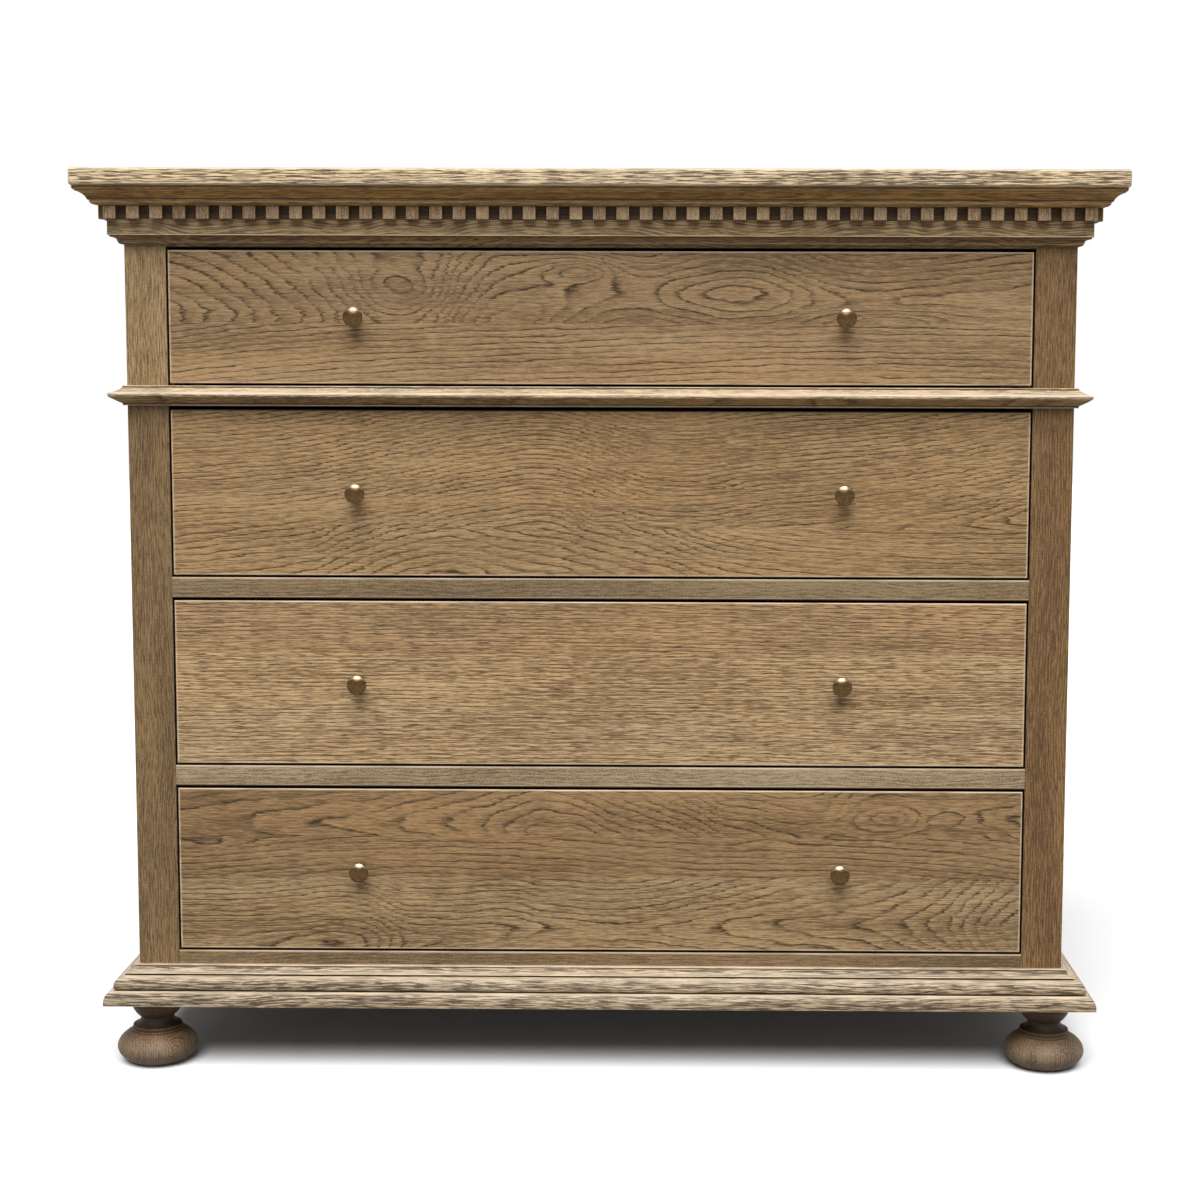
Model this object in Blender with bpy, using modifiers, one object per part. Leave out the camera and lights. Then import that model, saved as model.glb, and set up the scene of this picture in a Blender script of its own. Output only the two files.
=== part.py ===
"""Oak tallboy: a wide chest of four drawers on bun feet, with a dentil cornice.

The case stands on a base board. Two stiles and the rails between them frame the
drawer openings. A plinth, a waist and a cornice of mitred mouldings run round the
front and both sides. Each drawer is a box of its own, dovetailed at the front, that
slides forwards on a dust board and between its guides. Sizes are in metres, +Z is
up, the front faces -Y, and the origin lies on the floor under the middle of the top.
"""

import math

import bmesh
import bpy
from mathutils import Matrix, Vector

# Case
case_width = 1.100
case_depth = 0.450
stile_width = 0.0475
stile_thickness = 0.022
side_thickness = 0.018
back_thickness = 0.009
base_thickness = 0.018

# Heights of what shows on the front, from the plinth up
plinth_height = 0.043
bottom_rail_height = 0.016
deep_opening_height = 0.200
shallow_opening_height = 0.1595
rail_height = 0.024
waist_height = 0.024
cornice_height = 0.0665
slab_thickness = 0.020

# How far the mouldings stand out from the case
plinth_projection = 0.036
waist_projection = 0.0187
waist_fillet_projection = 0.0045
frieze_projection = 0.0155
frieze_moulding_height = 0.013
slab_overhang = 0.050
slab_lip = 0.003
slab_easing = 0.0035

# Dentils and the crown moulding above them
crown_height = 0.0205
dentil_width = 0.0142
dentil_height = 0.0152
dentil_depth = 0.0098
dentil_pitch = 0.0266
dentil_corner_reach = 0.0018
spine_thickness = 0.0045
spine_height = 0.006
spine_rise = 0.001

# Turned feet
foot_height = 0.080
foot_inset = 0.052
foot_top_radius = 0.030
foot_top_height = 0.014
foot_top_round = 0.010
foot_neck_radius = 0.0197
foot_neck_drop = 0.0295
foot_collar_radius = 0.0288
foot_collar_drop = 0.0395
foot_collar_height = 0.0014
bun_radius = 0.0475
bun_centre_height = 0.0195
foot_sole_radius = 0.028
spigot_radius = 0.011
spigot_length = 0.014

# Dust boards, runners and guides
dust_board_thickness = 0.012
runner_width = 0.070
guide_height = 0.020
guide_clearance = 0.0008
stop_width = 0.016
stop_length = 0.028
stop_height = 0.006

# Drawers
front_gap_side = 0.0025
front_gap_bottom = 0.0028
front_gap_top = 0.0035
front_thickness = 0.022
front_easing = 0.0008
drawer_side_thickness = 0.012
drawer_side_drop = 0.012
drawer_back_thickness = 0.012
drawer_back_drop = 0.008
drawer_back_inset = 0.010
drawer_rear_clearance = 0.016
drawer_bottom_thickness = 0.006
drawer_bottom_rise = 0.012
groove_depth = 0.006
housing_depth = 0.005

# Half-blind dovetails
tail_length = 0.015
tail_slope = 1 / 6
tail_pitch = 0.040
tail_edge_margin = 0.005
pin_width = 0.014

# Knobs with their screws
knob_spacing = 0.568
knob_radius = 0.0115
knob_length = 0.024
knob_dome_height = 0.005
knob_rim_thickness = 0.002
knob_neck_radius = 0.0042
knob_collar_radius = 0.0068
knob_collar_thickness = 0.002
screw_radius = 0.002
screw_hole_radius = 0.0026
screw_head_radius = 0.0045
screw_head_thickness = 0.0025

# Clearances: between pieces that touch, and under a drawer on its runners
fit_gap = 0.0003
runner_clearance = 0.0003
cut_margin = 0.010

# Facets of the turned pieces
foot_segments = 24
knob_segments = 16

# Places worked out from the sizes
half_width = case_width / 2
opening_half = half_width - stile_width
total_depth = case_depth + slab_overhang
front_y = -total_depth / 2 + slab_overhang
back_y = total_depth / 2
rail_back_y = front_y + stile_thickness
inner_back_y = back_y - back_thickness

plinth_z = foot_height
base_top_z = plinth_z + base_thickness
opening_4_z = plinth_z + plinth_height + bottom_rail_height
rail_lower_z = opening_4_z + deep_opening_height
opening_3_z = rail_lower_z + rail_height
rail_upper_z = opening_3_z + deep_opening_height
opening_2_z = rail_upper_z + rail_height
waist_z = opening_2_z + deep_opening_height
opening_1_z = waist_z + waist_height
frieze_z = opening_1_z + shallow_opening_height
slab_z = frieze_z + cornice_height
crown_z = slab_z - crown_height

side_inner_x = half_width - side_thickness - fit_gap
drawer_half = opening_half - front_gap_side
guide_x = drawer_half + guide_clearance
carcass_back_y = inner_back_y - fit_gap
carcass_front_y = rail_back_y + fit_gap

# The mouldings' outlines lie in local X (outwards) and Y (up); these turn them to face each side
FACING = {
    "front": Matrix(((0, 0, -1), (-1, 0, 0), (0, 1, 0))),
    "left": Matrix(((-1, 0, 0), (0, 0, 1), (0, 1, 0))),
    "right": Matrix(((1, 0, 0), (0, 0, -1), (0, 1, 0))),
}
# A board's elevation lies in local X (backwards) and Y (up), and its thickness along world X
ELEVATION = Matrix(((0, 0, 1), (1, 0, 0), (0, 1, 0)))
# A cross-section lies in local X (across) and Y (up), and runs forwards
SECTION = Matrix(((1, 0, 0), (0, 0, -1), (0, 1, 0)))


def start_scene():
    """Empties the scene and makes one collection for the pieces and one for what cuts them."""
    for obj in list(bpy.data.objects):
        bpy.data.objects.remove(obj, do_unlink=True)
    collections = []
    for name in ("tallboy", "cutters"):
        collection = bpy.data.collections.new(name)
        bpy.context.scene.collection.children.link(collection)
        collections.append(collection)
    return collections


pieces, cutters = start_scene()


def finish(name, colour, roughness, metallic=0.0):
    """A plain Principled material."""
    material = bpy.data.materials.new(name)
    material.use_nodes = True
    shader = material.node_tree.nodes["Principled BSDF"]
    shader.inputs["Base Color"].default_value = (*colour, 1)
    shader.inputs["Roughness"].default_value = roughness
    shader.inputs["Metallic"].default_value = metallic
    material.diffuse_color = (*colour, 1)
    return material


oak = finish("oak", (0.275, 0.183, 0.093), 0.62)
drawer_oak = finish("drawer_oak", (0.46, 0.34, 0.20), 0.65)
plywood = finish("plywood", (0.55, 0.43, 0.28), 0.70)
brass = finish("brass", (0.30, 0.225, 0.105), 0.38, 1.0)


def put(name, bm, material, parent=None):
    """Makes a bmesh a named piece, or a hidden cutter where it has no material."""
    mesh = bpy.data.meshes.new(name)
    bm.to_mesh(mesh)
    bm.free()
    obj = bpy.data.objects.new(name, mesh)
    obj.parent = parent
    if material is None:
        obj.hide_render = True
        obj.display_type = "WIRE"
        cutters.objects.link(obj)
    else:
        mesh.materials.append(material)
        pieces.objects.link(obj)
    return obj


def box(x, y, z):
    """A bmesh of a cuboid between pairs of coordinates."""
    bm = bmesh.new()
    bmesh.ops.create_cube(bm, size=1)
    low, high = Vector((x[0], y[0], z[0])), Vector((x[1], y[1], z[1]))
    bmesh.ops.scale(bm, vec=high - low, verts=bm.verts)
    bmesh.ops.translate(bm, vec=(low + high) / 2, verts=bm.verts)
    return bm


def board(name, x, y, z, material, parent=None):
    return put(name, box(x, y, z), material, parent)


def extruded(outline, depth, turn):
    """A bmesh of a flat outline, filled, extruded half its depth each way, and turned into place."""
    curve = bpy.data.curves.new("outline", "CURVE")
    curve.dimensions = "2D"
    curve.fill_mode = "BOTH"
    curve.extrude = depth / 2
    spline = curve.splines.new("POLY")
    spline.points.add(len(outline) - 1)
    for point, (x, y) in zip(spline.points, outline):
        point.co = (x, y, 0, 1)
    spline.use_cyclic_u = True
    obj = bpy.data.objects.new("outline", curve)
    bpy.context.scene.collection.objects.link(obj)
    graph = bpy.context.evaluated_depsgraph_get()
    mesh = bpy.data.meshes.new_from_object(obj.evaluated_get(graph))
    bm = bmesh.new()
    bm.from_mesh(mesh)
    bmesh.ops.remove_doubles(bm, verts=bm.verts, dist=1e-6)
    bmesh.ops.recalc_face_normals(bm, faces=bm.faces)
    bmesh.ops.transform(bm, matrix=turn.to_4x4(), verts=bm.verts)
    bpy.data.objects.remove(obj)
    bpy.data.curves.remove(curve)
    bpy.data.meshes.remove(mesh)
    return bm


def merged(meshes):
    """One bmesh that holds the shapes of several, which lie clear of each other."""
    whole = bmesh.new()
    for bm in meshes:
        mesh = bpy.data.meshes.new("shape")
        bm.to_mesh(mesh)
        bm.free()
        whole.from_mesh(mesh)
        bpy.data.meshes.remove(mesh)
    return whole


def boolean(obj, other, operation="DIFFERENCE"):
    modifier = obj.modifiers.new(other.name, "BOOLEAN")
    modifier.operation = operation
    modifier.object = other
    modifier.solver = "EXACT"


def cut(obj, name, bm):
    """Cuts a shape out of a piece that shares its parent."""
    boolean(obj, put(name, bm, None, obj.parent))


def join(obj, name, bm):
    """Adds a shape that is of one piece with this one."""
    boolean(obj, put(name, bm, None, obj.parent), "UNION")


def saw(bm, point, normal):
    """Takes off what lies beyond a plane and closes the cut, as a mitre saw does."""
    geometry = list(bm.verts) + list(bm.edges) + list(bm.faces)
    bmesh.ops.bisect_plane(bm, geom=geometry, plane_co=point, plane_no=normal, clear_outer=True)
    bmesh.ops.holes_fill(bm, edges=[edge for edge in bm.edges if edge.is_boundary], sides=0)


def arc(centre, radii, start, end, steps=6):
    """Points along an ellipse between two angles in degrees."""
    angles = [math.radians(start + (end - start) * i / steps) for i in range(steps + 1)]
    return [(centre[0] + radii[0] * math.cos(a), centre[1] + radii[1] * math.sin(a)) for a in angles]


def bend(first, pull, last, steps=4):
    """Points along a quadratic curve from first to last, drawn towards pull."""
    points = []
    for i in range(steps + 1):
        t = i / steps
        weights = ((1 - t) ** 2, 2 * t * (1 - t), t * t)
        points.append(tuple(sum(w * p[k] for w, p in zip(weights, (first, pull, last))) for k in (0, 1)))
    return points


def scaled(points, projection, height, out=0.0):
    """An outline drawn in a unit square, brought to its projection and height from a line that lies out."""
    return [(out + x * projection, z * height) for x, z in points]


def plinth_outline():
    """From the floor side up: a large and a middle ovolo, a cavetto and a small nosing."""
    drawn = [
        (1.0, 0.0),
        *arc((0.778, 0.07), (0.222, 0.314), 0, 90),
        *arc((0.411, 0.39), (0.306, 0.354), 0, 90),
        (0.383, 0.744),
        *arc((0.383, 0.93), (0.244, 0.163), 270, 180),
        (0.172, 0.94),
        (0.172, 0.985),
        (0.150, 1.0),
    ]
    return [(fit_gap, 0), *scaled(drawn, plinth_projection, plinth_height), (fit_gap, plinth_height)]


def waist_outline(back):
    """A nose between two hollow slopes, with a fillet above and below."""
    fillet = waist_fillet_projection
    low, high = 0.20 * waist_height, 0.92 * waist_height
    nose = scaled(arc((0.855, 0.555), (0.145, 0.125), -70, 100), waist_projection, waist_height)
    under_pull = (0.60 * waist_projection, 0.30 * waist_height)
    over_pull = (0.48 * waist_projection, 0.74 * waist_height)
    return [
        (back, 0),
        (fillet, 0),
        *bend((fillet, low), under_pull, nose[0]),
        *nose[1:-1],
        *bend(nose[-1], over_pull, (fillet, high)),
        (fillet, waist_height),
        (back, waist_height),
    ]


def frieze_outline(back):
    """A small ogee and an arris under a plain face that runs up to the slab."""
    ogee = [
        *arc((0.07, 0.31), (0.31, 0.31), -90, 0, 4),
        *arc((0.83, 0.40), (0.41, 0.41), 180, 90, 4),
        (0.86, 0.84),
        (1.0, 1.0),
    ]
    top = cornice_height - fit_gap
    drawn = scaled(ogee, frieze_projection, frieze_moulding_height)
    return [(back, 0), *drawn, (frieze_projection, top), (back, top)]


def crown_outline():
    """Ovolo, fillet, cavetto and bead, hollowed behind for the dentils' spine."""
    back = frieze_projection + fit_gap
    rebate = back + spine_thickness + fit_gap
    rebate_top = spine_height + fit_gap
    foot = frieze_projection + dentil_depth
    spread = slab_overhang - slab_lip - foot
    top = crown_height - fit_gap
    drawn = [
        *arc((0.0, 0.23), (0.24, 0.23), -90, 0, 5),
        (0.24, 0.28),
        (0.32, 0.33),
        *arc((0.76, 0.41), (0.44, 0.32), 180, 90, 6),
        *arc((0.78, 0.99), (0.22, 0.22), -90, 0, 5),
    ]
    member = scaled(drawn, spread, top, foot)
    return [(rebate, 0), *member, (foot + spread, top), (back, top), (back, rebate_top), (rebate, rebate_top)]


def moulding(name, outline, facing, z):
    """A run of moulding along one side of the case, mitred at the front corners."""
    reach = max(x for x, _ in outline)
    if facing == "front":
        bm = extruded(outline, case_width + 2 * (reach + cut_margin), FACING[facing])
        bmesh.ops.translate(bm, vec=(0, front_y, 0), verts=bm.verts)
    else:
        start = front_y - reach - cut_margin
        sign = 1 if facing == "right" else -1
        bm = extruded(outline, back_y - start, FACING[facing])
        bmesh.ops.translate(bm, vec=(sign * half_width, (start + back_y) / 2, 0), verts=bm.verts)
    for sign in (-1, 1):
        if facing in ("front", "right" if sign > 0 else "left"):
            across = Vector((sign, 1, 0)).normalized()
            if facing != "front":
                across.negate()
            corner = Vector((sign * half_width, front_y, 0))
            saw(bm, corner - across * fit_gap / 2, across)
    obj = put(name, bm, oak)
    obj.location.z = z
    return obj


def notch_for_stiles(obj, height):
    """Cuts a rail back where it passes in front of the stiles, which run up behind it."""
    inner = opening_half - fit_gap
    y = (front_y - fit_gap, rail_back_y + cut_margin)
    z = (-cut_margin, height + cut_margin)
    for sign in (-1, 1):
        x = sorted((sign * inner, sign * (half_width + cut_margin)))
        notch = put(f"{obj.name}_notch_{'right' if sign > 0 else 'left'}", box(x, y, z), None)
        notch.location = obj.location
        boolean(obj, notch)


def add_case():
    """The base board, the frame of the front, the sides, the back and the top."""
    base = board("base_board", (-half_width, half_width), (front_y, back_y), (plinth_z, base_top_z), oak)
    add_bottom_runners(base)
    stand_z = base_top_z + fit_gap
    top_z = slab_z - fit_gap
    for sign, side in ((-1, "left"), (1, "right")):
        stile_x = sorted((sign * opening_half, sign * half_width))
        board(f"stile_{side}", stile_x, (front_y, rail_back_y), (stand_z, top_z), oak)
        panel_x = sorted((sign * (half_width - side_thickness), sign * half_width))
        panel = board(f"side_panel_{side}", panel_x, (carcass_front_y, back_y), (stand_z, top_z), oak)
        rebate_edge = half_width - side_thickness / 2
        rebate_x = sorted((sign * (half_width - side_thickness - cut_margin), sign * rebate_edge))
        rebate_y = (inner_back_y - fit_gap, back_y + cut_margin)
        rebate = box(rebate_x, rebate_y, (stand_z - cut_margin, top_z + cut_margin))
        cut(panel, f"side_panel_{side}_rebate", rebate)
    back_half = half_width - side_thickness / 2 - fit_gap
    board("back_panel", (-back_half, back_half), (inner_back_y, back_y), (stand_z, top_z), plywood)
    rail_x = (-opening_half + fit_gap, opening_half - fit_gap)
    rails = (
        ("rail_upper", rail_upper_z, rail_height),
        ("rail_lower", rail_lower_z, rail_height),
        ("rail_bottom", stand_z, opening_4_z - stand_z),
    )
    for name, z, height in rails:
        board(name, rail_x, (front_y, rail_back_y), (z, z + height), oak)
    slab_half = half_width + slab_overhang
    slab_y = (front_y - slab_overhang, back_y)
    slab = board("top_slab", (-slab_half, slab_half), slab_y, (slab_z, slab_z + slab_thickness), oak)
    ease(slab, slab_easing, 3)


def ease(obj, width, segments):
    """Takes the sharpness off a board's edges."""
    bevel = obj.modifiers.new("eased_edges", "BEVEL")
    bevel.width = width
    bevel.segments = segments


def stop_boxes(top_z):
    """The two blocks that a drawer front comes to rest against, just inside the runners."""
    outer = guide_x - drawer_side_thickness - 2 * guide_clearance - cut_margin / 2
    boxes = []
    for sign in (-1, 1):
        x = sorted((sign * (outer - stop_width), sign * outer))
        y = (carcass_front_y, carcass_front_y + stop_length)
        boxes.append(box(x, y, (top_z - dust_board_thickness / 2, top_z + stop_height)))
    return merged(boxes)


def add_bottom_runners(base):
    """Runners on the base board that carry the lowest drawer, with their guides and stops."""
    for sign, side in ((-1, "left"), (1, "right")):
        outline = [
            (side_inner_x - runner_width, base_top_z - base_thickness / 2),
            (side_inner_x, base_top_z - base_thickness / 2),
            (side_inner_x, opening_4_z + guide_height),
            (guide_x, opening_4_z + guide_height),
            (guide_x, opening_4_z),
            (side_inner_x - runner_width, opening_4_z),
        ]
        outline = [(sign * x, z) for x, z in outline]
        runner = extruded(outline, carcass_back_y - carcass_front_y, SECTION)
        bmesh.ops.translate(runner, vec=(0, (carcass_front_y + carcass_back_y) / 2, 0), verts=runner.verts)
        join(base, f"runner_{side}", runner)
    join(base, "bottom_stops", stop_boxes(opening_4_z))


def add_dust_board(number, top_z):
    """A board behind a rail. The drawer above runs on it, between the guides along its edges."""
    outline = [
        (-side_inner_x, top_z - dust_board_thickness),
        (side_inner_x, top_z - dust_board_thickness),
        (side_inner_x, top_z + guide_height),
        (guide_x, top_z + guide_height),
        (guide_x, top_z),
        (-guide_x, top_z),
        (-guide_x, top_z + guide_height),
        (-side_inner_x, top_z + guide_height),
    ]
    bm = extruded(outline, carcass_back_y - carcass_front_y, SECTION)
    bmesh.ops.translate(bm, vec=(0, (carcass_front_y + carcass_back_y) / 2, 0), verts=bm.verts)
    obj = put(f"dust_board_{number}", bm, drawer_oak)
    join(obj, f"dust_board_{number}_stops", stop_boxes(top_z))


def dentil_strip(name, length, turn, place):
    """A row of blocks cut from one strip, whose thin spine is housed in the back of the crown."""
    count = round((length - dentil_width) / dentil_pitch) + 1
    pitch = (length - dentil_width) / (count - 1)
    outline = [(length / 2, spine_height), (-length / 2, spine_height)]
    for i in range(count):
        left = -length / 2 + i * pitch
        if i:
            outline.append((left, spine_rise))
        outline += [(left, -dentil_height), (left + dentil_width, -dentil_height)]
        if i < count - 1:
            outline.append((left + dentil_width, spine_rise))
    strip = extruded(outline, spine_thickness, SECTION)
    geometry = list(strip.verts) + list(strip.edges) + list(strip.faces)
    bmesh.ops.bisect_plane(strip, geom=geometry, plane_co=(0, 0, -fit_gap), plane_no=(0, 0, 1))
    faces = [
        face for face in strip.faces if face.normal.y < -0.9 and face.calc_center_median().z < -fit_gap
    ]
    raised = bmesh.ops.extrude_face_region(strip, geom=faces)["geom"]
    bmesh.ops.delete(strip, geom=faces, context="FACES")
    blocks = [item for item in raised if isinstance(item, bmesh.types.BMVert)]
    proud = dentil_depth - fit_gap - spine_thickness
    bmesh.ops.translate(strip, vec=(0, -proud, 0), verts=blocks)
    bmesh.ops.recalc_face_normals(strip, faces=strip.faces)
    bmesh.ops.transform(strip, matrix=Matrix.Translation(place) @ turn, verts=strip.verts)
    put(name, strip, oak)


def add_dentils():
    """The front row runs past the corners, and the side rows start behind it."""
    middle = frieze_projection + fit_gap + spine_thickness / 2
    length = 2 * (half_width + frieze_projection + dentil_corner_reach)
    dentil_strip("dentil_front", length, Matrix.Identity(4), Vector((0, front_y - middle, crown_z)))
    start = front_y - frieze_projection
    for sign, side in ((-1, "left"), (1, "right")):
        turn = Matrix.Rotation(sign * math.pi / 2, 4, "Z")
        place = Vector((sign * (half_width + middle), (start + back_y) / 2, crown_z))
        dentil_strip(f"dentil_{side}", back_y - start, turn, place)


def add_mouldings():
    """The plinth, waist, frieze and crown, each of three runs with mitred corners."""
    for facing in ("front", "left", "right"):
        front = facing == "front"
        back = -stile_thickness if front else fit_gap
        moulding(f"plinth_{facing}", plinth_outline(), facing, plinth_z)
        waist = moulding(f"waist_{facing}", waist_outline(back), facing, waist_z)
        frieze = moulding(f"frieze_{facing}", frieze_outline(back), facing, frieze_z)
        moulding(f"crown_{facing}", crown_outline(), facing, crown_z)
        if front:
            notch_for_stiles(waist, waist_height)
            notch_for_stiles(frieze, cornice_height)


def turned(name, profile, segments, material, parent=None):
    """A profile of (radius, height) points from the top down its outer side, turned about Z."""
    bm = bmesh.new()
    verts = [bm.verts.new((radius, 0, height)) for radius, height in profile]
    for first, second in zip(verts, verts[1:]):
        bm.edges.new((first, second))
    obj = put(name, bm, material, parent)
    screw = obj.modifiers.new("turned", "SCREW")
    screw.steps = segments
    screw.render_steps = segments
    screw.use_merge_vertices = True
    screw.merge_threshold = 1e-5
    screw.use_smooth_shade = True
    return obj


def foot_profile():
    """Spigot, rounded top disc, cove, collar and bun, from the spigot's top to the sole."""
    top = -fit_gap
    round_start = top - foot_top_height
    round_depth = foot_top_radius - foot_neck_radius - foot_top_round * 0.3
    cove_top = foot_neck_drop - foot_top_height - foot_top_round
    collar_z = -foot_collar_drop
    bun_z = bun_centre_height - foot_height
    under_collar = collar_z - foot_collar_height
    start = math.acos(foot_collar_radius / bun_radius)
    sole = math.acos(foot_sole_radius / bun_radius)
    upper_radius = (under_collar - bun_z) / math.sin(start)
    lower_radius = bun_centre_height / math.sin(sole)
    shoulder = (foot_top_radius - round_depth, round_start)
    cove_out = foot_top_radius - round_depth - foot_neck_radius
    return [
        (0, spigot_length),
        (spigot_radius, spigot_length),
        (spigot_radius, top),
        (foot_top_radius, top),
        *arc(shoulder, (round_depth, foot_top_round), 0, -90, 4),
        *arc((foot_neck_radius + cove_out, -foot_neck_drop), (cove_out, cove_top), 120, 180, 2),
        *arc(
            (foot_collar_radius, -foot_neck_drop),
            (foot_collar_radius - foot_neck_radius, foot_collar_drop - foot_neck_drop),
            202,
            270,
            3,
        ),
        (foot_collar_radius, under_collar),
        *arc((0, bun_z), (bun_radius, upper_radius), math.degrees(start) - 6, 0, 5),
        *arc((0, bun_z), (bun_radius, lower_radius), -14, -math.degrees(sole), 4),
        (0, -foot_height),
    ]


def add_feet(base):
    """Four turned feet, each with a spigot glued into a hole in the base board."""
    reach_x = half_width + plinth_projection - foot_inset
    front = front_y - plinth_projection + foot_inset
    back = back_y - foot_inset
    profile = foot_profile()
    holes = []
    for y, row in ((front, "front"), (back, "rear")):
        for x, side in ((-reach_x, "left"), (reach_x, "right")):
            foot = turned(f"foot_{row}_{side}", profile, foot_segments, oak)
            foot.location = (x, y, foot_height)
            hole = bmesh.new()
            depth = spigot_length + fit_gap + cut_margin
            bmesh.ops.create_cone(
                hole,
                cap_ends=True,
                segments=foot_segments,
                radius1=spigot_radius + fit_gap,
                radius2=spigot_radius + fit_gap,
                depth=depth,
            )
            place = (x, y, plinth_z - cut_margin + depth / 2)
            bmesh.ops.translate(hole, vec=place, verts=hole.verts)
            holes.append(hole)
    cut(base, "spigot_holes", merged(holes))


def knob_profile():
    """Domed head, waisted neck, collar and, behind the drawer front, the screw's shank and head."""
    rim = knob_length - knob_dome_height
    under = rim - knob_rim_thickness
    shank_end = -front_thickness - fit_gap
    return [
        *arc((0, rim), (knob_radius, knob_dome_height), 90, 0, 4),
        *bend((knob_radius * 0.94, under), (knob_neck_radius, under * 0.86), (knob_neck_radius, under * 0.5), 3),
        (knob_collar_radius, knob_collar_thickness + fit_gap),
        (knob_collar_radius, fit_gap),
        (screw_radius, fit_gap),
        (screw_radius, shank_end),
        (screw_head_radius, shank_end),
        (screw_head_radius * 0.8, shank_end - screw_head_thickness),
        (0, shank_end - screw_head_thickness),
    ]


def tail_heights(low, high):
    """The middle heights of the dovetails between two levels, and half a tail's width at its root."""
    count = max(2, round((high - low) / tail_pitch))
    pitch = (high - low) / count
    return [low + (i + 0.5) * pitch for i in range(count)], (pitch - pin_width) / 2


def add_drawer(number, z, opening_height):
    """A drawer in its own frame: y = 0 at its face, z = 0 at the foot of its opening."""
    name = f"drawer_{number}"
    slide = bpy.data.objects.new(f"{name}_slide", None)
    slide.location = (0, front_y, z)
    pieces.objects.link(slide)

    front_z = (front_gap_bottom, opening_height - front_gap_top)
    side_z = (runner_clearance, opening_height - drawer_side_drop)
    inner_half = drawer_half - drawer_side_thickness
    side_end = carcass_back_y - front_y - drawer_rear_clearance
    groove_z = side_z[0] + drawer_bottom_rise
    bottom_z = (groove_z + fit_gap, groove_z + fit_gap + drawer_bottom_thickness)
    groove_top = bottom_z[1] + fit_gap
    tail_low = max(front_z[0], side_z[0]) + tail_edge_margin
    middles, tail_half = tail_heights(tail_low, side_z[1] - tail_edge_margin)
    flare = tail_length * tail_slope
    lap = front_thickness - tail_length

    front = board(
        f"{name}_front", (-drawer_half, drawer_half), (0, front_thickness), front_z, oak, slide
    )
    ease_face(front)
    groove_half = inner_half + groove_depth
    groove_y = (front_thickness - groove_depth, front_thickness + cut_margin)
    cut(front, f"{name}_front_groove", box((-groove_half, groove_half), groove_y, (groove_z, groove_top)))
    sockets = []
    for sign in (-1, 1):
        across = drawer_side_thickness + fit_gap + cut_margin
        centre_x = sign * (drawer_half - drawer_side_thickness - fit_gap + across / 2)
        for middle in middles:
            half = tail_half + fit_gap
            socket = [
                (front_thickness + cut_margin, middle - half + cut_margin * tail_slope),
                (front_thickness + cut_margin, middle + half - cut_margin * tail_slope),
                (lap, middle + half + flare),
                (lap, middle - half - flare),
            ]
            bm = extruded(socket, across, ELEVATION)
            bmesh.ops.translate(bm, vec=(centre_x, 0, 0), verts=bm.verts)
            sockets.append(bm)
    cut(front, f"{name}_front_sockets", merged(sockets))
    knob_z = sum(front_z) / 2
    cut(front, f"{name}_front_holes", merged([screw_hole(s * knob_spacing / 2, knob_z) for s in (-1, 1)]))

    shoulder = front_thickness + fit_gap
    elevation = [(shoulder, side_z[0]), (side_end, side_z[0]), (side_end, side_z[1]), (shoulder, side_z[1])]
    for middle in reversed(middles):
        elevation += [
            (shoulder, middle + tail_half),
            (lap + fit_gap, middle + tail_half + flare),
            (lap + fit_gap, middle - tail_half - flare),
            (shoulder, middle - tail_half),
        ]
    back_y_local = (side_end - drawer_back_inset - drawer_back_thickness, side_end - drawer_back_inset)
    for sign, side in ((-1, "left"), (1, "right")):
        bm = extruded(elevation, drawer_side_thickness, ELEVATION)
        centre_x = sign * (drawer_half - drawer_side_thickness / 2)
        bmesh.ops.translate(bm, vec=(centre_x, 0, 0), verts=bm.verts)
        obj = put(f"{name}_side_{side}", bm, drawer_oak, slide)
        groove_x = sorted((sign * (inner_half - cut_margin), sign * (inner_half + groove_depth)))
        groove = box(groove_x, (-cut_margin, side_end + cut_margin), (groove_z, groove_top))
        cut(obj, f"{name}_side_{side}_groove", groove)
        housing_x = sorted((sign * (inner_half - cut_margin), sign * (inner_half + housing_depth)))
        housing_y = (back_y_local[0] - fit_gap, back_y_local[1] + fit_gap)
        housing = box(housing_x, housing_y, ((groove_z + groove_top) / 2, side_z[1] + cut_margin))
        cut(obj, f"{name}_side_{side}_housing", housing)
        knob = turned(f"{name}_knob_{side}", knob_profile(), knob_segments, brass, slide)
        knob.rotation_euler = (math.pi / 2, 0, 0)
        knob.location = (sign * knob_spacing / 2, 0, knob_z)

    back_half = inner_half + housing_depth - fit_gap
    back_z = (groove_top, side_z[1] - drawer_back_drop)
    board(f"{name}_back", (-back_half, back_half), back_y_local, back_z, drawer_oak, slide)
    bottom_half = inner_half + groove_depth - fit_gap
    bottom_y = (groove_y[0] + fit_gap, back_y_local[1])
    board(f"{name}_bottom", (-bottom_half, bottom_half), bottom_y, bottom_z, plywood, slide)


def ease_face(front):
    """A small bevel round the face of a drawer front."""
    bm = bmesh.new()
    bm.from_mesh(front.data)
    edges = [edge for edge in bm.edges if all(abs(vert.co.y) < fit_gap for vert in edge.verts)]
    bmesh.ops.bevel(bm, geom=edges, offset=front_easing, segments=1, affect="EDGES")
    bm.to_mesh(front.data)
    bm.free()


def screw_hole(x, z):
    bm = bmesh.new()
    bmesh.ops.create_cone(
        bm,
        cap_ends=True,
        segments=knob_segments,
        radius1=screw_hole_radius,
        radius2=screw_hole_radius,
        depth=front_thickness + 2 * cut_margin,
        matrix=Matrix.Translation((x, front_thickness / 2, z)) @ Matrix.Rotation(math.pi / 2, 4, "X"),
    )
    return bm


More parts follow.
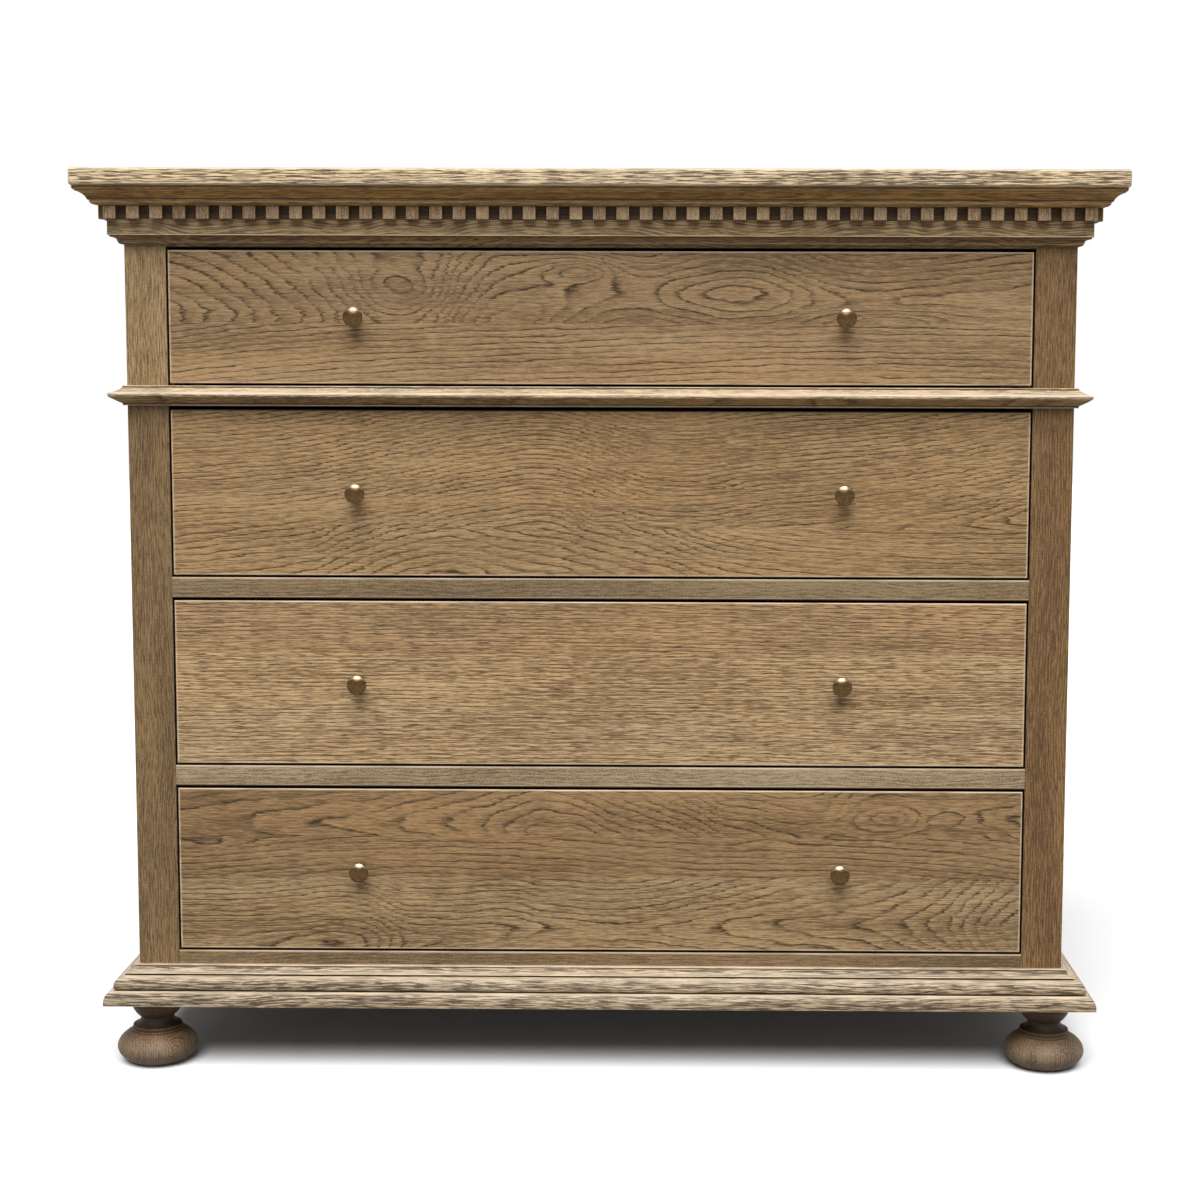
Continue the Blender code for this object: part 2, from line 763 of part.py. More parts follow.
add_case()
add_mouldings()
add_dentils()
add_feet(bpy.data.objects["base_board"])
for dust_number, dust_top in ((1, opening_1_z), (2, opening_2_z), (3, opening_3_z)):
    add_dust_board(dust_number, dust_top)
add_drawer(1, opening_1_z, shallow_opening_height)
for drawer_number, drawer_z in ((2, opening_2_z), (3, opening_3_z), (4, opening_4_z)):
    add_drawer(drawer_number, drawer_z, deep_opening_height)
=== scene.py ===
# %% [markdown]
# # An oak tallboy with a dentil cornice
# The CAD model gives every board its place and size. This script dresses it: finer mouldings, turned feet and knobs
# are worked out with numpy, and the oak, plywood and brass are built from shader nodes.
# Everything is in metres, +Z is up and the front faces -Y.

# %% Load the frame
import math

import bmesh
import bpy
import numpy as np
from mathutils import Matrix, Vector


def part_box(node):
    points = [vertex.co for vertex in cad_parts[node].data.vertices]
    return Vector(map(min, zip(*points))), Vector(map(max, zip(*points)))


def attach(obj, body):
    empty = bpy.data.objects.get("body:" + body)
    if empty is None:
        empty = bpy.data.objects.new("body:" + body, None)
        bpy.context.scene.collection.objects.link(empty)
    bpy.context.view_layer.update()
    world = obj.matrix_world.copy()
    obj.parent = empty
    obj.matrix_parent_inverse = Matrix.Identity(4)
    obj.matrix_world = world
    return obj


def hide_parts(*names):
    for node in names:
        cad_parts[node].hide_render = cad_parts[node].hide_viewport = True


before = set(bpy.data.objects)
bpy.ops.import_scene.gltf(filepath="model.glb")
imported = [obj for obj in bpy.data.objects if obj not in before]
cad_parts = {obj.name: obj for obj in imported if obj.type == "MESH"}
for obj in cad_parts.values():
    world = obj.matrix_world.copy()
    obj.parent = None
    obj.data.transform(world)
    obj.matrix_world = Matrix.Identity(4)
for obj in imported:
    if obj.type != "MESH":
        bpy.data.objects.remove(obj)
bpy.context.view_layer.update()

# %% [markdown]
# ## Sizes shared by the pieces
# They are the real object's, as in the CAD model.

# %% Sizes
half_width = 0.550
front_y, back_y = -0.200, 0.250
opening_half = 0.5025
fit_gap = 0.0003
plinth_z, waist_z, frieze_z, slab_z = 0.080, 0.787, 0.9705, 1.037
plinth_height, waist_height, frieze_height = 0.043, 0.024, 0.0662
slab_half_width, slab_half_depth, slab_thickness, slab_easing = 0.600, 0.250, 0.020, 0.0035
foot_x, foot_front_y, foot_rear_y = 0.534, -0.184, 0.198
knob_x, knob_radius = 0.284, 0.0115
crown_height = 0.0205
frieze_projection = 0.0155
dentil_width, dentil_height, dentil_depth, dentil_pitch = 0.0142, 0.0152, 0.0098, 0.0266
crown_z = slab_z - crown_height
recess_z = crown_z - dentil_height
print("case", 2 * half_width, "m wide,", back_y - front_y, "m deep")

# %% [markdown]
# ## Camera
# The photograph was taken from a little above the middle of the chest with a long lens. Solving for the
# camera from the edges of the boards gives its place, its tilt and the focal length; the small shift stands
# for the crop of the picture.

# %% Camera
def add_object(name, data):
    """A new object in the scene."""
    obj = bpy.data.objects.new(name, data)
    bpy.context.scene.collection.objects.link(obj)
    return obj


picture_px = 1200
focal_px = 2104.7
sensor_mm = 36


def add_camera():
    """Turns a camera that looks along +Y by a heading to the left, then down, then about its own axis."""
    data = bpy.data.cameras.new("view")
    data.sensor_width = sensor_mm
    data.lens = focal_px * sensor_mm / picture_px
    data.shift_x, data.shift_y = -0.0417, -0.0208
    camera = add_object("view", data)
    heading, tilt, roll = math.radians(0.529), math.radians(90 - 5.826), math.radians(0.177)
    turn = Matrix.Rotation(heading, 4, "Z") @ Matrix.Rotation(tilt, 4, "X") @ Matrix.Rotation(roll, 4, "Z")
    camera.matrix_world = Matrix.Translation((0.0815, -2.6522, 0.8419)) @ turn
    bpy.context.scene.camera = camera
    print("camera: lens", round(data.lens, 2), "mm at", [round(v, 3) for v in camera.location])


add_camera()

# %% [markdown]
# ## Building materials from nodes
# A material is a small graph. Short helpers keep it readable: node adds a node and links or sets its inputs,
# sums and vectors add one Math or Vector Math node. Each hands back an output, so calls can be nested.

# %% Node helpers
def set_inputs(tree, made, inputs):
    """Links the inputs that are sockets and sets those that are values."""
    for key, value in inputs.items():
        if isinstance(value, bpy.types.NodeSocket):
            tree.links.new(value, made.inputs[key])
        else:
            made.inputs[key].default_value = value


def node(tree, kind, inputs=None, output=0, **settings):
    """A new node of a kind; inputs are sockets to link or values to set."""
    made = tree.nodes.new("ShaderNode" + kind)
    for name, value in settings.items():
        setattr(made, name, value)
    set_inputs(tree, made, inputs or {})
    return made.outputs[output]


def sums(tree, operation, *values, clamp=False):
    """One Math node on two or three values."""
    return node(tree, "Math", dict(enumerate(values)), operation=operation, use_clamp=clamp)


def vectors(tree, operation, first, second, output=0):
    """One Vector Math node on two vectors."""
    return node(tree, "VectorMath", {0: first, 1: second}, output, operation=operation)


def axes(tree, vector):
    """The x, y and z of a vector."""
    made = tree.nodes.new("ShaderNodeSeparateXYZ")
    tree.links.new(vector, made.inputs[0])
    return made.outputs


def centred(tree, value):
    """Noise runs from 0 to 1; this moves its middle to 0."""
    return sums(tree, "SUBTRACT", value, 0.5)


def remap(tree, value, low, high, to_low=0.0, to_high=1.0):
    """Values from low to high become to_low to to_high, and stop there."""
    ends = {"Value": value, "From Min": low, "From Max": high, "To Min": to_low, "To Max": to_high}
    return node(tree, "MapRange", ends)


def blend(tree, factor, first, second, kind="MIX"):
    """One colour laid over another."""
    inputs = {"Factor": factor, 6: first, 7: second}
    return node(tree, "Mix", inputs, output=2, data_type="RGBA", blend_type=kind)


def choose(tree, factor, first, second):
    """The first value where the factor is 0, the second where it is 1."""
    return node(tree, "Mix", {"Factor": factor, 2: first, 3: second}, data_type="FLOAT")


def noise(tree, vector, scale, detail=2.0, roughness=0.5):
    """Noise stretched by a scale along each axis: small numbers along the grain, large ones across it."""
    stretched = vectors(tree, "MULTIPLY", vector, scale)
    return node(tree, "TexNoise", {"Vector": stretched, "Scale": 1.0, "Detail": detail, "Roughness": roughness})


VECTORS, COLOURS = {"Vector", "Low", "High", "Middle", "Radii"}, {"Pale", "Deep", "Pore", "Color"}


def new_group(name, inputs, outputs):
    """An empty node group, its tree and its inputs and outputs by name. All sockets are numbers, except those
    whose names are listed above."""
    tree = bpy.data.node_groups.new(name, "ShaderNodeTree")
    for names, way in ((inputs, "INPUT"), (outputs, "OUTPUT")):
        for socket in names.split():
            kind = "Vector" if socket in VECTORS else "Color" if socket in COLOURS else "Float"
            tree.interface.new_socket(socket, in_out=way, socket_type=f"NodeSocket{kind}")
    return tree, tree.nodes.new("NodeGroupInput").outputs, tree.nodes.new("NodeGroupOutput").inputs


def grouped(tree, group, inputs):
    """Places a group in a tree and hands back its outputs."""
    made = tree.nodes.new("ShaderNodeGroup")
    made.node_tree = group
    set_inputs(tree, made, inputs)
    return made.outputs


print("node helpers ready")

# %% [markdown]
# ## What oak looks like
# Oak is ring-porous: each year starts with a row of wide pores, which a sawn board shows as broken dark
# lines. Where the saw runs close to the heart's tangent, the lines make arches and closed eyes, like the
# contour lines of a map. So the figure is a field of "rings", a number that grows by one a year, and the
# dark lines are where it passes a whole number. Along a vertical stretch the pores, which run with
# the grain, break the line into little steps; nudging the sample along the grain by fine noise does that.

# %% Grain that steps and bends
def make_moved_grain(name, amount, axis, scale, roughness=0.5):
    """Position + (noise - 0.5) * amount along one axis."""
    tree, given, result = new_group(name, f"Vector {amount}", "Vector")
    uneven = noise(tree, given["Vector"], scale, 2.0, roughness)
    shift = node(tree, "CombineXYZ", {axis: sums(tree, "MULTIPLY", centred(tree, uneven), given[amount])})
    tree.links.new(vectors(tree, "ADD", given["Vector"], shift), result["Vector"])
    return tree


# Stepped: moved along the grain by noise that changes quickly across it. Bent: moved across the grain by noise
# that changes slowly, so that the fibres rise and fall.
stepped_grain = make_moved_grain("stepped_grain", "Step", "X", (60, 620, 620), 0.6)
bent_grain = make_moved_grain("bent_grain", "Bend", "Z", (4.5, 3, 3))
print("groups:", stepped_grain.name, bent_grain.name)

# %% Rings of a plain board
def make_plain_rings():
    """Rings = height across the board over their spacing, plus slow noise times the wander."""
    tree, given, result = new_group("plain_rings", "Vector Spacing Wander", "Rings")
    _, y, z = axes(tree, given["Vector"])
    across = sums(tree, "ADD", z, sums(tree, "MULTIPLY", y, 0.6))
    slow = noise(tree, given["Vector"], (4.5, 22, 22), 2.0)
    drift = sums(tree, "MULTIPLY", centred(tree, slow), given["Wander"])
    rings = sums(tree, "ADD", sums(tree, "DIVIDE", across, given["Spacing"]), drift)
    tree.links.new(rings, result["Rings"])
    return tree


plain_rings = make_plain_rings()
print("group:", plain_rings.name)

# %% Rings of a board sawn beside the heart
def make_arched_rings():
    """Rings = (hypot(height from the heart line, depth) - depth) / reach + swell + slow noise * wander."""
    tree, given, result = new_group("arched_rings", "Vector Heart Swell Reach Depth Wander", "Rings")
    away = sums(tree, "SUBTRACT", axes(tree, given["Vector"])["Z"], given["Heart"])
    squares = sums(tree, "MULTIPLY_ADD", away, away, sums(tree, "MULTIPLY", given["Depth"], given["Depth"]))
    distance = sums(tree, "SUBTRACT", sums(tree, "SQRT", squares), given["Depth"])
    rings = sums(tree, "ADD", sums(tree, "DIVIDE", distance, given["Reach"]), given["Swell"])
    slow = noise(tree, given["Vector"], (16, 55, 55), 2.0)
    drift = sums(tree, "MULTIPLY", centred(tree, slow), given["Wander"])
    tree.links.new(sums(tree, "ADD", rings, drift), result["Rings"])
    return tree


def make_eye_rings():
    """Extra rings over a knot or swelling: count * exp(-(distance from its middle in radii) squared)."""
    tree, given, result = new_group("eye_rings", "Vector Middle Radii Count", "Rings")
    away = vectors(tree, "DIVIDE", vectors(tree, "SUBTRACT", given["Vector"], given["Middle"]), given["Radii"])
    square = vectors(tree, "DOT_PRODUCT", away, away, output=1)
    bump = sums(tree, "EXPONENT", sums(tree, "MULTIPLY", square, -1.0))
    tree.links.new(sums(tree, "MULTIPLY", bump, given["Count"]), result["Rings"])
    return tree


arched_rings, eye_rings = make_arched_rings(), make_eye_rings()
print("groups:", arched_rings.name, eye_rings.name)

# %% [markdown]
# ## The finish on the oak
# The wood was wire-brushed and greyed: soft wood between the pores is worn hollow and arrises are rubbed pale.
# Pale glints in the hollows are painted highlights, and inner corners, recesses and undersides get painted
# shade. One group makes the colour, the roughness and the height for the bump from the ring field.

# %% Oak finish
GLINT_PALE, RUBBED_AND_LIT = (0.86, 0.72, 0.53, 1), (0.70, 0.56, 0.40, 1)
SHADED, DEEP_SHADE = (0.80, 0.61, 0.36, 1), (0.024, 0.015, 0.008, 1)
COOL, WARM = (0.985, 1.005, 1.02, 1), (1.015, 0.995, 0.96, 1)


def make_oak_finish():
    """Tone from clouds, streaks, strokes and fibres; dark dashes where a ring starts; painted glints; pale edges,
    rubbed or painted highlight; painted shade.
    """
    sockets = "Vector Rings Edge Tone Pale Deep Pore Figure Streaks Fibres Speckle Specks Glints Brushed"
    tree, given, result = new_group("oak_finish", sockets, "Color Roughness Height")
    vector = given["Vector"]
    clouds = noise(tree, vector, (2.6, 26, 26), 3.0)
    strokes = remap(tree, noise(tree, vector, (34, 780, 780), 1.0, 0.5), 0.46, 0.54, -0.5, 0.5)
    streaks = noise(tree, vector, (8.0, 420, 420), 3.0, 0.65)
    fibres = noise(tree, vector, (95, 650, 650), 3.0, 0.6)
    speckle = noise(tree, vector, (480, 480, 480), 2.0, 0.7)
    strength = remap(tree, noise(tree, vector, (5, 60, 60), 2.0), 0.40, 0.56, 0.22, 1.0)
    dashes = remap(tree, noise(tree, vector, (85, 700, 700), 1.0), 0.40, 0.54)
    specks = remap(tree, noise(tree, vector, (48, 780, 780), 2.0, 0.5), 0.56, 0.66)

    year = sums(tree, "FRACT", given["Rings"])
    rise = remap(tree, year, 0.0, 0.06)
    fall = remap(tree, year, 0.10, 0.28, 1.0, 0.0)
    line = sums(tree, "MULTIPLY", sums(tree, "MULTIPLY", rise, fall), strength)
    broken = sums(tree, "MULTIPLY", line, remap(tree, dashes, 0.0, 1.0, 0.40, 1.0))
    figure = sums(tree, "MULTIPLY", broken, given["Figure"])
    loose = sums(tree, "MULTIPLY", specks, given["Specks"])
    pores = sums(tree, "MAXIMUM", figure, loose, clamp=True)

    tone = sums(tree, "ADD", sums(tree, "MULTIPLY", centred(tree, clouds), 1.5), given["Tone"])
    streaked = sums(tree, "MULTIPLY", centred(tree, streaks), given["Streaks"])
    tone = sums(tree, "MULTIPLY_ADD", streaked, 1.7, tone)
    tone = sums(tree, "MULTIPLY_ADD", strokes, given["Brushed"], tone)
    tone = sums(tree, "MULTIPLY_ADD", centred(tree, fibres), given["Fibres"], tone)
    tone = sums(tree, "MULTIPLY_ADD", centred(tree, speckle), given["Speckle"], tone)
    tone = sums(tree, "MULTIPLY_ADD", centred(tree, year), 0.30, tone, clamp=True)
    wood = blend(tree, tone, given["Deep"], given["Pale"])
    warmth = remap(tree, noise(tree, vector, (3.5, 17, 17), 2.0), 0.38, 0.62)
    wood = blend(tree, 1.0, wood, blend(tree, warmth, COOL, WARM), "MULTIPLY")
    wood = blend(tree, pores, wood, given["Pore"])

    # Painted glints: pale dashes where noise peaks, standing for highlights on the brushed pores.
    shine = remap(tree, noise(tree, vector, (100, 820, 820), 1.0), 0.58, 0.68)
    glinted = sums(tree, "MULTIPLY", shine, given["Glints"], clamp=True)
    wood = blend(tree, glinted, wood, GLINT_PALE)
    # Above 0 the edge value is a rubbed arris or a painted highlight; both make the wood paler.
    worn = remap(tree, given["Edge"], 0.15, 0.8, 0.0, 0.9)
    worn = sums(tree, "MULTIPLY", worn, remap(tree, noise(tree, vector, (14, 60, 60), 2.0), 0.35, 0.6, 0.45, 1.0))
    wood = blend(tree, worn, wood, RUBBED_AND_LIT)
    # Below 0 the edge value is painted shade: a warm darkening, near black from -0.6 down.
    shade = remap(tree, given["Edge"], -0.05, -0.55)
    wood = blend(tree, shade, wood, blend(tree, 1.0, wood, SHADED, "MULTIPLY"))
    deep_shade = remap(tree, given["Edge"], -0.6, -0.95, 0.0, 0.92)
    wood = blend(tree, deep_shade, wood, DEEP_SHADE)

    tree.links.new(wood, result["Color"])
    tree.links.new(remap(tree, pores, 0.0, 1.0, 0.60, 0.82), result["Roughness"])
    height = sums(tree, "SUBTRACT", sums(tree, "MULTIPLY", fibres, 0.5), pores)
    tree.links.new(sums(tree, "MULTIPLY_ADD", streaks, 0.6, height), result["Height"])
    return tree


oak_finish = make_oak_finish()
print("group:", oak_finish.name)

# %% [markdown]
# ## Rubbed arrises
# A point on a box has three distances, one to the nearest face along each axis. On a face the smallest is zero and
# the middle one is the distance to the nearest arris, so the middle one of the three says where the wood is rubbed.

# %% Arris wear
def make_arris_wear():
    """1 on an arris of the box from Low to High, falling to 0 over Width: 1 - (middle distance) / Width."""
    tree, given, result = new_group("arris_wear", "Vector Low High Width", "Edge")
    below = vectors(tree, "SUBTRACT", given["Vector"], given["Low"])
    above = vectors(tree, "SUBTRACT", given["High"], given["Vector"])
    a, b, c = axes(tree, vectors(tree, "MINIMUM", below, above))
    larger = sums(tree, "MINIMUM", sums(tree, "MAXIMUM", a, b), c)
    middle = sums(tree, "MAXIMUM", sums(tree, "MINIMUM", a, b), larger)
    wear = sums(tree, "SUBTRACT", 1.0, sums(tree, "DIVIDE", middle, given["Width"]), clamp=True)
    tree.links.new(wear, result["Edge"])
    return tree


arris_wear = make_arris_wear()
print("group:", arris_wear.name)

# %% [markdown]
# ## One oak, several ways of cutting it
# The grain runs along X on rails and the front mouldings, along Y on the side mouldings and along Z on the
# uprights. A Mapping node turns the position so that the first axis always follows the grain. A look is a table
# of the finish's inputs for one kind of piece, a palette holds the three colours of a wood, and a stain multiplies
# them.

# %% Oak materials
TURNS = {"x": (0, 0, 0), "y": (0, 0, -math.pi / 2), "z": (0, math.pi / 2, 0)}


def start_material(name):
    """An empty material with a Principled shader, its tree and the shader's inputs."""
    material = bpy.data.materials.new(name)
    material.use_nodes = True
    tree = material.node_tree
    shader = tree.nodes["Principled BSDF"]
    return material, tree, shader.inputs


def start_oak(name, grain):
    """The same with the position in the scene, and that position turned so that its first axis is the grain's."""
    material, tree, shader = start_material(name)
    position = node(tree, "TexCoord", output=3)
    return material, tree, shader, position, node(tree, "Mapping", {"Vector": position, "Rotation": TURNS[grain]})


rubbed_width = 0.0028
# Painted shade starts on faces 0.6 mm behind the front and is full at 1.8 mm, in the gaps between boards.
shade_starts, shade_full = front_y + 0.0006, front_y + 0.0018
shade_half_width = half_width - 0.001


def board_edges(tree, position, box, shaded=(0.0, 0.0)):
    """Rubbed arrises of a board on the front of the case, and painted shade on its faces behind the front, in the
    gaps, and on shaded strips along its lower and upper arris."""
    inputs = {"Vector": position, "Low": box[0], "High": box[1], "Width": rubbed_width}
    wear = grouped(tree, arris_wear, inputs)["Edge"]
    x, y, z = axes(tree, position)
    behind = remap(tree, y, shade_starts, shade_full)
    inside = sums(tree, "LESS_THAN", sums(tree, "ABSOLUTE", x), shade_half_width)
    painted_shade = sums(tree, "MULTIPLY", behind, inside)
    if shaded[0]:
        painted_shade = sums(tree, "MAXIMUM", painted_shade, sums(tree, "LESS_THAN", z, box[0][2] + shaded[0]))
    if shaded[1]:
        painted_shade = sums(tree, "MAXIMUM", painted_shade, sums(tree, "GREATER_THAN", z, box[1][2] - shaded[1]))
    return choose(tree, painted_shade, wear, -0.9)


bump_depth, oak_specular = 0.0006, 0.28
USUAL_LOOK = {
    "Tone": 0.5, "Figure": 0.85, "Streaks": 1.0, "Fibres": 1.8, "Speckle": 0.5, "Specks": 0.6, "Glints": 0.0,
    "Brushed": 0.3, "bump": 0.35, "rubbed": 1.0,
}


def finish_oak(tree, shader, vector, rings, look, edge=None):
    """Joins the oak finish and its bump to the shader. The look says what differs from the usual one."""
    values = {**USUAL_LOOK, **look}
    bump, rubbed = values.pop("bump"), values.pop("rubbed")
    edge = edge or node(tree, "Attribute", output=2, attribute_name="edge")
    if rubbed < 1:
        edge = sums(tree, "MINIMUM", edge, rubbed)
    made = grouped(tree, oak_finish, {"Vector": vector, "Rings": rings, "Edge": edge, **values})
    tree.links.new(made["Color"], shader["Base Color"])
    tree.links.new(made["Roughness"], shader["Roughness"])
    height = {"Height": made["Height"], "Strength": bump, "Distance": bump_depth}
    tree.links.new(node(tree, "Bump", height), shader["Normal"])
    shader["Specular IOR Level"].default_value = oak_specular


def plain_oak(name, grain, spacing, wander, worn_box=None, faded=None, bent=0.03, shaded=(0.0, 0.0), **look):
    """Oak whose lines run along the piece. A worn box is the board's two corners, whose arrises are rubbed pale.
    Painted light above is a height and a lighter palette above it, painted light on the upper part. Bent lets the
    fibres wave."""
    material, tree, shader, position, vector = start_oak(name, grain)
    vector = grouped(tree, bent_grain, {"Vector": vector, "Bend": bent})["Vector"]
    stepped = grouped(tree, stepped_grain, {"Vector": vector, "Step": 0.010})["Vector"]
    rings = grouped(tree, plain_rings, {"Vector": stepped, "Spacing": spacing, "Wander": wander})["Rings"]
    if faded:
        above = sums(tree, "GREATER_THAN", axes(tree, position)["Z"], faded[0])
        look.update({key: blend(tree, above, look[key], colour) for key, colour in faded[1].items()})
    finish_oak(tree, shader, vector, rings, look, worn_box and board_edges(tree, position, worn_box, shaded=shaded))
    return material


def palette(pale, deep, pore):
    """The three colours of a wood: its pale and deep tones and its pores."""
    return {"Pale": (*pale, 1), "Deep": (*deep, 1), "Pore": (*pore, 1)}


def stained(colours, red, green, blue):
    """A palette with every colour multiplied by a stain."""
    return {key: (c[0] * red, c[1] * green, c[2] * blue, 1) for key, c in colours.items()}


BROWN = palette((0.420, 0.285, 0.155), (0.150, 0.092, 0.044), (0.045, 0.027, 0.012))
CREAM = palette((0.76, 0.60, 0.42), (0.14, 0.095, 0.055), (0.040, 0.026, 0.014))
STONE = stained(CREAM, 0.62, 0.62, 0.61)
HONEY = palette((0.51, 0.385, 0.24), (0.15, 0.105, 0.056), (0.05, 0.032, 0.016))
oak_side_moulding = plain_oak("oak_side_moulding", "y", 0.004, 1.8, Glints=0.2, **BROWN)
oak_side = plain_oak("oak_side", "z", 0.0032, 2.2, Figure=0.6, **stained(BROWN, 0.75, 0.72, 0.70))
oak_crown = plain_oak(
    "oak_crown", "x", 0.003, 1.4, Figure=0.8, Brushed=0.7, rubbed=0.7, **stained(BROWN, 1.40, 1.42, 1.10)
)
oak_frieze = plain_oak(
    "oak_frieze", "x", 0.0042, 4.5, bent=0.07, Brushed=0.8, **stained(BROWN, 0.92, 0.93, 0.86)
)
oak_slab = plain_oak(
    "oak_slab", "x", 0.0040, 1.2, bent=0.004, Brushed=1.0, Streaks=0.4, Fibres=1.6, bump=0.7,
    **stained(CREAM, 1.05, 1.03, 0.94)
)
plinth_look = {"bent": 0.02, "Brushed": 0.9, "Streaks": 0.6, "Fibres": 1.4, "bump": 0.7, **STONE}
oak_plinth = plain_oak("oak_plinth", "x", 0.0050, 4.0, **plinth_look)
oak_plinth_side = plain_oak("oak_plinth_side", "y", 0.0050, 4.0, **plinth_look)
oak_waist = plain_oak(
    "oak_waist", "x", 0.0040, 1.5, Brushed=0.7, Streaks=0.4, Fibres=1.4, Specks=0.3, Glints=0.5, **HONEY
)
print("oak materials:", len([m for m in bpy.data.materials if m.name.startswith("oak_")]))

# %% [markdown]
# ## Drawer fronts
# Each front is glued up from two or three boards, and each board has a figure of its own. A board is described
# by three curves along its length: the height of its heart line, round which the arches lie, how wide the rings
# are, and how far the swell of the tree lifts or lowers the ring count there. Lows in the swell make closed
# eyes, slopes make arches.

# %% Figured drawer fronts
def along_curve(tree, place, points, low, high):
    """A smooth curve through (place along the board in metres, value) points, between a low and a high value."""
    made = tree.nodes.new("ShaderNodeFloatCurve")
    curve = made.mapping.curves[0]
    for x, value in points[1:-1]:
        curve.points.new(x + 0.5, (value - low) / (high - low))
    for point, (x, value) in zip((curve.points[0], curve.points[len(curve.points) - 1]), (points[0], points[-1])):
        point.location = (x + 0.5, (value - low) / (high - low))
    made.mapping.update()
    tree.links.new(place, made.inputs["Value"])
    return sums(tree, "MULTIPLY_ADD", made.outputs[0], high - low, low)


board_wander = 1.2


def board_rings(tree, stepped, place, board):
    """The ring field of one board of a front: its heart and swell curves, and its eyes."""
    heart = along_curve(tree, place, board["heart"], 0.0, 1.2)
    swell = along_curve(tree, place, board["swell"], -20.0, 20.0)
    reach = along_curve(tree, place, board["reach"], 0.0, 0.05)
    inputs = {"Vector": stepped, "Heart": heart, "Swell": swell, "Reach": reach, "Depth": board["depth"]}
    rings = grouped(tree, arched_rings, {**inputs, "Wander": board_wander})["Rings"]
    for x, z, wide, high, count in board["eyes"]:
        eye = {"Vector": stepped, "Middle": (x, front_y, z), "Radii": (wide, 1.0, high), "Count": count}
        rings = sums(tree, "ADD", rings, grouped(tree, eye_rings, eye)["Rings"])
    return rings


def tinted(colour, board):
    """A colour multiplied by a board's own tint."""
    return (*(c * t for c, t in zip(colour, board["tint"])), 1)


def figured_oak(name, boards, box, shaded=(0.0, 0.0), **look):
    """Boards from the top down; each says where its lower joint is. The box is the front's own."""
    material, tree, shader, position, vector = start_oak(name, "x")
    stepped = grouped(tree, stepped_grain, {"Vector": vector, "Step": 0.020})["Vector"]
    place = sums(tree, "ADD", axes(tree, stepped)["X"], 0.5)
    height = axes(tree, vector)["Z"]
    rings = board_rings(tree, stepped, place, boards[0])
    tone, pale = boards[0]["tone"], tinted(look["Pale"], boards[0])
    for upper, board in zip(boards, boards[1:]):
        below = sums(tree, "LESS_THAN", height, upper["joint"])
        rings = choose(tree, below, rings, board_rings(tree, stepped, place, board))
        tone = choose(tree, below, tone, board["tone"])
        pale = blend(tree, below, pale, tinted(look["Pale"], board))
    look = {**look, "Tone": tone, "Pale": pale}
    finish_oak(tree, shader, vector, rings, look, board_edges(tree, position, box, shaded=shaded))
    return material


front_boards = {1: [], 2: [], 3: [], 4: []}


def add_board(front, **board):
    """The next board down in a front. Heart (z), reach (metres per ring) and swell (rings) are curves along it.
    The joint is its lower edge, a small depth keeps the rings even, and an eye is (x, z, width, height, rings)."""
    usual = {"swell": [(-0.5, 0), (0.5, 0)], "depth": 0.012, "tone": 0.5, "tint": (1, 1, 1), "eyes": ()}
    front_boards[front].append({**usual, **board})


add_board(
    1, joint=0.884, tone=0.42,
    heart=[(-0.5, 0.893), (-0.3, 0.891), (-0.1, 0.889), (-0.05, 0.905), (0.16, 0.918), (0.3, 0.91), (0.5, 0.915)],
    reach=[(-0.5, 0.013), (-0.4, 0.018), (-0.2, 0.018), (-0.08, 0.012), (0.05, 0.0085), (0.5, 0.0085)],
    swell=[
        (-0.5, -6.6), (-0.45, -4.8), (-0.4, -2.9), (-0.35, -1.0), (-0.32, 0.2), (-0.29, 1.6), (-0.25, 2.6),
        (-0.2, 1.9), (-0.15, -1.5), (-0.10, -3.6), (-0.05, -2.4), (0.04, -0.6), (0.10, -2.2), (0.16, -3.3),
        (0.30, 0.3), (0.36, 0.0), (0.5, -0.8),
    ],
    eyes=[(-0.231, 0.920, 0.05, 0.028, 3.6), (-0.02, 0.945, 0.05, 0.016, -4), (0.345, 0.888, 0.06, 0.01, 2)],
)
add_board(
    1, depth=0.001, tone=0.60,
    heart=[(-0.5, 0.765), (-0.3, 0.782), (0, 0.792), (0.25, 0.80), (0.5, 0.798)],
    reach=[(-0.5, 0.0066), (-0.2, 0.0070), (0.5, 0.007)],
)
add_board(
    2, joint=0.646,
    heart=[(-0.5, 0.625), (-0.3, 0.632), (-0.07, 0.64), (0.05, 0.635), (0.2, 0.637), (0.35, 0.645), (0.5, 0.66)],
    reach=[(-0.5, 0.0055), (-0.07, 0.0058), (0.5, 0.0058)],
    swell=[
        (-0.5, 8), (-0.42, 7.4), (-0.343, 6.6), (-0.28, 5), (-0.225, 3.6), (-0.175, 2), (-0.12, 0.8), (-0.07, 0),
        (-0.035, 0.6), (0.0, 2.2), (0.084, 5.4), (0.2, 3.4), (0.31, 2.6), (0.39, 1.6), (0.445, 0.8), (0.5, -0.5),
    ],
    eyes=[(-0.01, 0.66, 0.022, 0.014, 2), (-0.02, 0.79, 0.12, 0.03, 1.2)],
)
add_board(
    2,
    heart=[(-0.5, 0.575), (-0.182, 0.582), (0.0, 0.582), (0.5, 0.575)],
    reach=[(-0.5, 0.0072), (-0.182, 0.0095), (0.0, 0.0095), (0.15, 0.0065), (0.5, 0.006)],
    swell=[
        (-0.5, 6.4), (-0.40, 5.8), (-0.329, 5), (-0.309, 4), (-0.279, 3), (-0.252, 2), (-0.213, 1), (-0.182, 0.6),
        (-0.151, 1), (-0.115, 2), (-0.048, 3), (-0.01, 4), (0.05, 5.2), (0.085, 6), (0.117, 7), (0.167, 8),
        (0.26, 9), (0.5, 9.6),
    ],
)
